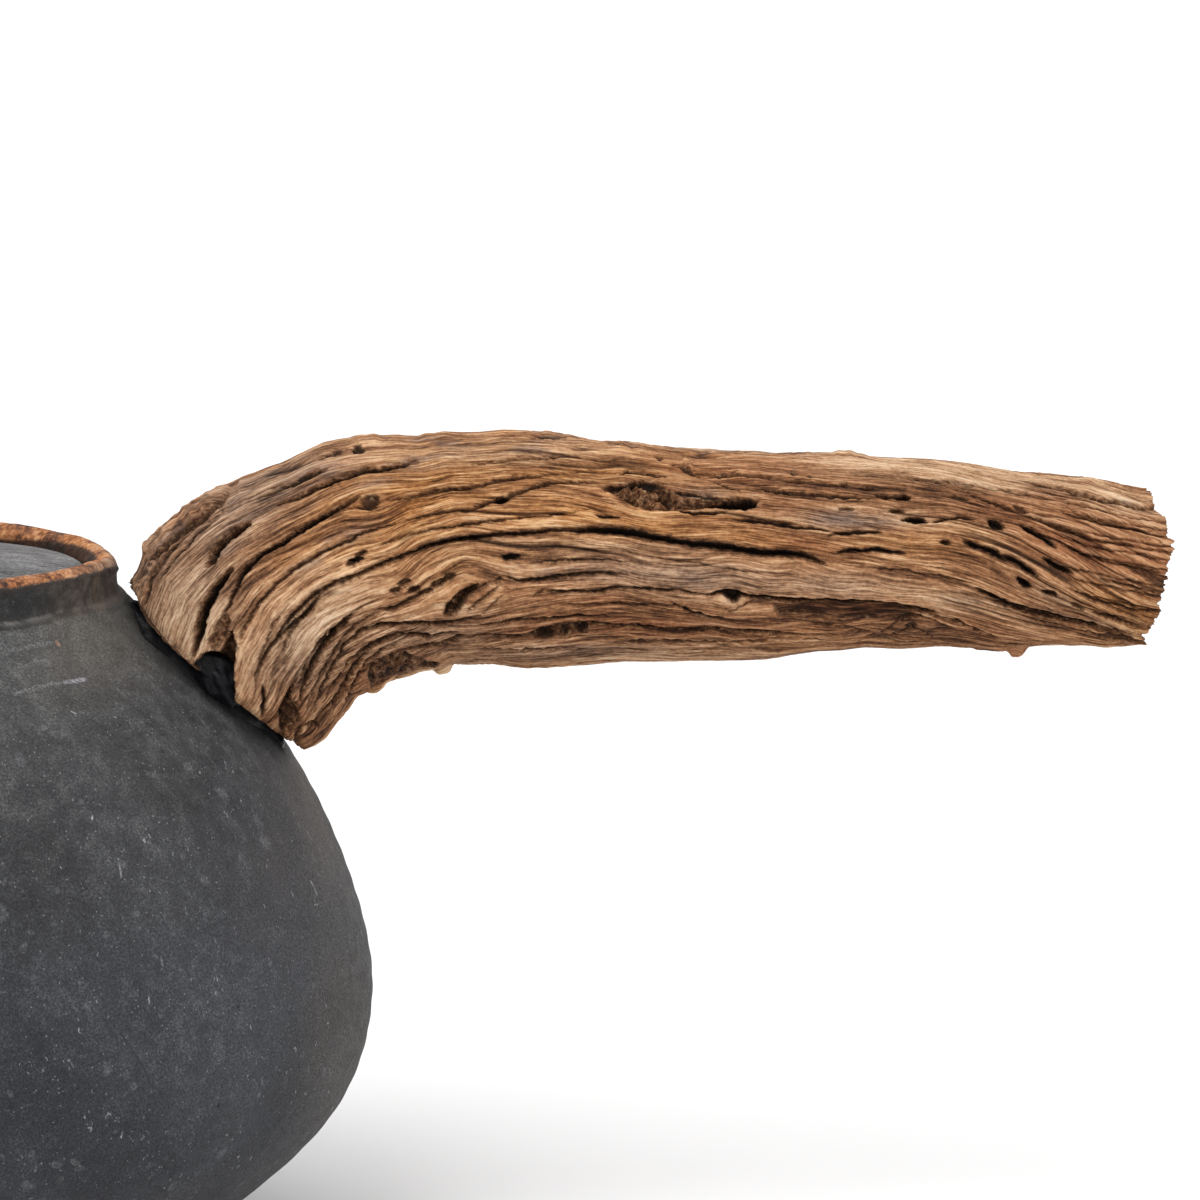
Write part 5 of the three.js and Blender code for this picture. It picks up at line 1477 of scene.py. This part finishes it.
        # collar: darker, with brown runs towards the handle
        collar = m.math("MULTIPLY", m.band(z, 0.0838, 0.0846), m.band(z, 0.0886, 0.0893, 1.0, 0.0))
        col = m.mix(m.math("MULTIPLY", collar, m.band(mottle, 0.2, 0.8, 0.78, 0.56)), col, srgb(28, 27, 27))
        drips = m.band(m.noise(m.scaled(c, (420.0, 420.0, 110.0)), 1.0, 3.0, 0.6), 0.42, 0.66)
        toward = m.band(m.split(c, 0), 0.0235, 0.0300)
        col = m.mix(m.math("MULTIPLY", m.math("MULTIPLY", collar, toward), m.math("MULTIPLY", drips, 0.36)), col, srgb(112, 90, 72))
        col = m.mix(m.math("MULTIPLY", m.math("MULTIPLY", collar, m.band(m.split(c, 0), 0.0215, 0.0300)), m.band(mottle, 0.1, 0.9, 0.18, 0.46)), col, srgb(112, 98, 85))
        haze = m.math("MULTIPLY", m.math("MULTIPLY", m.band(z, 0.072, 0.082), m.band(z, 0.0840, 0.0850, 1.0, 0.0)), m.band(m.split(c, 0), 0.018, 0.030))
        col = m.mix(m.math("MULTIPLY", haze, m.band(sand, 0.1, 0.9, 0.10, 0.34)), col, srgb(122, 112, 98))
        # thrown ridge where collar and shoulder meet
        zz = m.split(m.warped(c, 160.0, 0.0011), 2)
        fades = m.band(m.split(c, 0), 0.0180, 0.0290, 1.0, 0.25)
        crest = m.band(m.math("ABSOLUTE", m.math("SUBTRACT", zz, 0.08485)), 0.00004, 0.00036, 1.0, 0.0)
        col = m.mix(m.math("MULTIPLY", m.math("MULTIPLY", crest, fades), m.band(mottle, 0.1, 0.8, 0.15, 0.60)), col, srgb(124, 121, 117))
        under_ = m.band(m.math("ABSOLUTE", m.math("SUBTRACT", zz, 0.08425)), 0.00004, 0.00034, 1.0, 0.0)
        col = m.mix(m.math("MULTIPLY", m.math("MULTIPLY", under_, fades), 0.62), col, srgb(22, 21, 21))
        # rust on the lip
        edge_n = m.noise(c, 260.0, 4.0, 0.6)
        level = m.math("ADD", z, m.math("MULTIPLY", m.math("SUBTRACT", edge_n, 0.5), 0.0014))
        sag = m.math("ADD", m.band(m.split(c, 0), 0.0092, 0.0228, 0.0, 0.00062), m.band(m.split(c, 0), 0.0250, 0.0296, 0.0, 0.0005))
        level = m.math("ADD", level, m.math("MULTIPLY", sag, m.band(m.split(c, 1), -0.0107, 0.0046, 0.15, 1.0)))
        band = m.band(level, 0.08885, 0.08925)
        n1 = m.band(m.noise(c, 250.0, 4.0, 0.58), 0.30, 0.70)
        n2 = m.band(m.noise(m.scaled(c, (1, 1, 1), (0, 0, 0), (3.1, 2.2, 1.1)), 1600.0, 3.0, 0.62), 0.34, 0.66)
        rv = m.math("ADD", m.math("MULTIPLY", n1, 0.58), m.math("MULTIPLY", n2, 0.42))
        rust_col = m.ramp(rv, [(0.12, srgb(76, 48, 34)), (0.32, srgb(122, 77, 50)), (0.50, srgb(156, 101, 63)), (0.66, srgb(180, 124, 82)), (0.88, srgb(204, 160, 124))])
        glow = m.band(m.noise(m.scaled(c, (1, 1, 1), (0, 0, 0), (0.7, 0.9, 1.1)), 110.0, 3.0, 0.6), 0.44, 0.60)
        rust_col = m.mix(m.math("MULTIPLY", glow, 0.55), rust_col, m.ramp(rv, [(0.12, srgb(86, 48, 22)), (0.50, srgb(178, 106, 48)), (0.88, srgb(216, 158, 96))]))
        spots = m.band(m.voronoi(m.scaled(m.warped(c, 900.0, 0.0007), (1, 1, 1), (0, 0, 0), (4.4, 0.1, 0.4)), 360.0), 0.12, 0.26, 1.0, 0.0)
        spots = m.math("MULTIPLY", spots, m.band(m.noise(c, 140.0, 2.0, 0.5), 0.46, 0.56))
        rust_col = m.mix(m.math("MULTIPLY", spots, 0.85), rust_col, srgb(40, 29, 27))
        radius = m.math("SQRT", m.math("ADD", m.math("POWER", m.split(c, 0), 2.0), m.math("POWER", m.split(c, 1), 2.0)))
        inner = m.math("MULTIPLY", m.band(radius, 0.02990, 0.02960), m.band(z, 0.0845, 0.0850))
        worn = m.math("MULTIPLY", m.band(m.split(c, 0), 0.0255, 0.0312), m.band(radius, 0.0296, 0.0308))
        rust_col = m.mix(m.math("MULTIPLY", worn, 0.55), rust_col, m.ramp(rv, [(0.2, srgb(70, 60, 54)), (0.8, srgb(140, 124, 108))]))
        col = m.mix(m.math("MAXIMUM", band, inner), col, rust_col)
        fringe = m.math("MULTIPLY", m.math("MULTIPLY", m.band(level, 0.0881, 0.0887), m.band(level, 0.0888, 0.0892, 1.0, 0.0)), m.band(radius, 0.0296, 0.0299))
        col = m.mix(m.math("MULTIPLY", fringe, 0.5), col, srgb(46, 34, 28))
        # the unglazed rust also shows on the inside of the collar; painted shade darkens it next to the lid, reaching
        # higher on the handle side
        inner_wall_shade = m.math("MULTIPLY", m.band(radius, 0.02930, 0.02870), m.band(z, 0.0845, 0.0850))
        sunk = m.math("SUBTRACT", level, m.band(m.split(c, 0), 0.012, 0.026, 0.0, 0.0012))
        col = m.mix(m.math("MULTIPLY", inner_wall_shade, m.band(sunk, 0.0878, 0.0884, 0.97, 0.0)), col, m.mix(0.35, m.ramp(rv, [(0.2, srgb(26, 17, 13)), (0.8, srgb(70, 42, 26))]), srgb(30, 20, 16)))
        lumps = m.math("MULTIPLY", m.band(level, 0.0882, 0.0890), m.math("ADD", m.math("MULTIPLY", n1, 1.6), m.math("MULTIPLY", n2, 0.5)))
        height = m.math("ADD", height, lumps)
    m.bsdf.inputs["Sheen Weight"].default_value = 0.045
    m.bsdf.inputs["Sheen Roughness"].default_value = 0.22
    m.bsdf.inputs["Sheen Tint"].default_value = (1.0, 0.94, 0.88, 1.0)
    return m.finish(col, rough, m.bump(height, 0.00020, 0.8), 0.26)


def lid_material():
    m = Nodes("grey_lid_clay")
    c = m.coords()
    cloud = m.band(m.noise(c, 90.0, 4.0, 0.6), 0.34, 0.66)
    sand = m.band(m.noise(c, 2400.0, 3.0, 0.65), 0.34, 0.66)
    brushed = m.band(m.noise(m.scaled(c, (170.0, 1900.0, 900.0), (0, 0, 0.45)), 1.0, 3.0, 0.62), 0.34, 0.66)
    value = m.math("ADD", m.math("MULTIPLY", cloud, 0.27), m.math("ADD", m.math("MULTIPLY", sand, 0.36), m.math("MULTIPLY", brushed, 0.37)))
    col = m.ramp(value, [(0.12, srgb(62, 61, 62)), (0.35, srgb(90, 89, 90)), (0.55, srgb(110, 109, 109)), (0.75, srgb(132, 131, 130)), (0.92, srgb(164, 163, 162))])
    v = m.voronoi(m.warped(c, 900.0, 0.0006), 380.0)
    on = m.band(m.noise(c, 160.0, 2.0, 0.6), 0.54, 0.60)
    col = m.mix(m.math("MULTIPLY", m.math("MULTIPLY", m.band(v, 0.06, 0.14, 1.0, 0.0), on), 0.6), col, srgb(62, 50, 44))
    pit = m.segment(c, np.array([22.0, -2.2, 88.3]), np.array([22.3, -2.2, 88.3]))
    col = m.mix(m.band(pit, 0.0002, 0.0005, 0.9, 0.0), col, srgb(38, 32, 29))
    sc = m.scaled(m.warped(c, 700.0, 0.0008), (420.0, 420.0, 70.0), (1.5, 0.4, 0.9), (3, 3, 3))
    col = m.mix(m.math("MULTIPLY", m.band(m.voronoi(sc, 1.0), 0.03, 0.08, 1.0, 0.0), 0.6), col, srgb(176, 175, 174))
    height = m.math("ADD", m.math("MULTIPLY", brushed, 0.6), m.math("MULTIPLY", sand, 0.5))
    return m.finish(col, 0.78, m.bump(height, 0.00012, 0.8), 0.22)


def bare_clay_material():
    m = Nodes("bare_inner_clay")
    c = m.coords()
    value = m.math("ADD", m.math("MULTIPLY", m.noise(c, 90.0, 4.0, 0.6), 0.6), m.math("MULTIPLY", m.noise(c, 900.0, 3.0, 0.6), 0.4))
    col = m.ramp(value, [(0.35, srgb(62, 46, 37)), (0.5, srgb(86, 66, 53)), (0.66, srgb(116, 92, 74))])
    return m.finish(col, 0.85, m.bump(value, 0.0002, 0.6), 0.25)


def resin_material():
    m = Nodes("black_resin")
    c = m.coords()
    n1 = m.noise(c, 260.0, 3.0, 0.55)
    n2 = m.noise(c, 1300.0, 3.0, 0.55)
    col = m.ramp(n1, [(0.35, srgb(6, 6, 7)), (0.65, srgb(15, 16, 20))])
    rough = m.band(n1, 0.35, 0.65, 0.30, 0.54)
    return m.finish(col, rough, m.bump(m.math("ADD", m.math("MULTIPLY", n1, 0.7), m.math("MULTIPLY", n2, 0.3)), 0.0005, 0.8), 0.14)


STONE = stoneware_material()
STONE_PLAIN = stoneware_material(False)
CLAY = bare_clay_material()
wear(wood, driftwood_material())
wear(pot, STONE)
wear(spout, STONE_PLAIN)
wear(knob, STONE_PLAIN)
wear(lid, lid_material())
wear(resin, resin_material())
for name in ("strainer", "handle_stub", "lid_flange"):
    wear(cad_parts[name], CLAY)

# ------------------------------------------------------------------ stage and light
floor_mat = Nodes("pale_floor")
fc = floor_mat.coords()
floor_col = floor_mat.ramp(floor_mat.noise(fc, 3.0, 2.0, 0.5), [(0.3, (0.811, 0.807, 0.804)), (0.7, (0.824, 0.821, 0.818))])
floor_mat.finish(floor_col, 0.6, None, 0.2)
bpy.ops.mesh.primitive_grid_add(x_subdivisions=8, y_subdivisions=8, size=24.0, location=(0, 0, -0.0002))
floor = bpy.context.active_object
floor.name = "floor"
wear(floor, floor_mat.mat)

world = bpy.data.worlds.new("studio")
bpy.context.scene.world = world
world.use_nodes = True
wt = world.node_tree
direction = wt.nodes.new("ShaderNodeTexCoord").outputs["Generated"]
height = wt.nodes.new("ShaderNodeSeparateXYZ")
wt.links.new(direction, height.inputs[0])
shade = wt.nodes.new("ShaderNodeValToRGB")  # bright walls, dimmer above
wt.links.new(height.outputs[2], shade.inputs[0])
shade.color_ramp.elements[0].position = 0.056
shade.color_ramp.elements[0].color = (1.0, 1.0, 1.0, 1)
wall = shade.color_ramp.elements.new(0.13)
wall.color = (0.84, 0.84, 0.84, 1)
shade.color_ramp.elements[2].position = 0.42
shade.color_ramp.elements[2].color = (0.72, 0.72, 0.725, 1)
wt.links.new(shade.outputs[0], wt.nodes["Background"].inputs[0])
wt.nodes["Background"].inputs[1].default_value = 1.0


def lamp(name, source, strength, spread, color=(1, 1, 1)):
    """A far soft lamp shining from that direction."""
    data = bpy.data.lights.new(name, "SUN")
    data.energy = strength
    data.angle = math.radians(spread)
    data.color = color
    ob = bpy.data.objects.new(name, data)
    bpy.context.scene.collection.objects.link(ob)
    ob.rotation_euler = (-Vector(source)).to_track_quat("-Z", "Y").to_euler()
    return ob


lamp("key", (-0.45, -0.75, 1.05), 1.65, 40)
lamp("front", (0.1, -0.92, 0.42), 0.25, 35)
lamp("rim", (0.95, 0.25, 0.30), 0.7, 40)
lamp("top", (0.15, 0.25, 1.0), 0.8, 80)

scene = bpy.context.scene
scene.view_settings.view_transform = "Standard"
scene.view_settings.look = "None"
scene.view_settings.exposure = 0.0
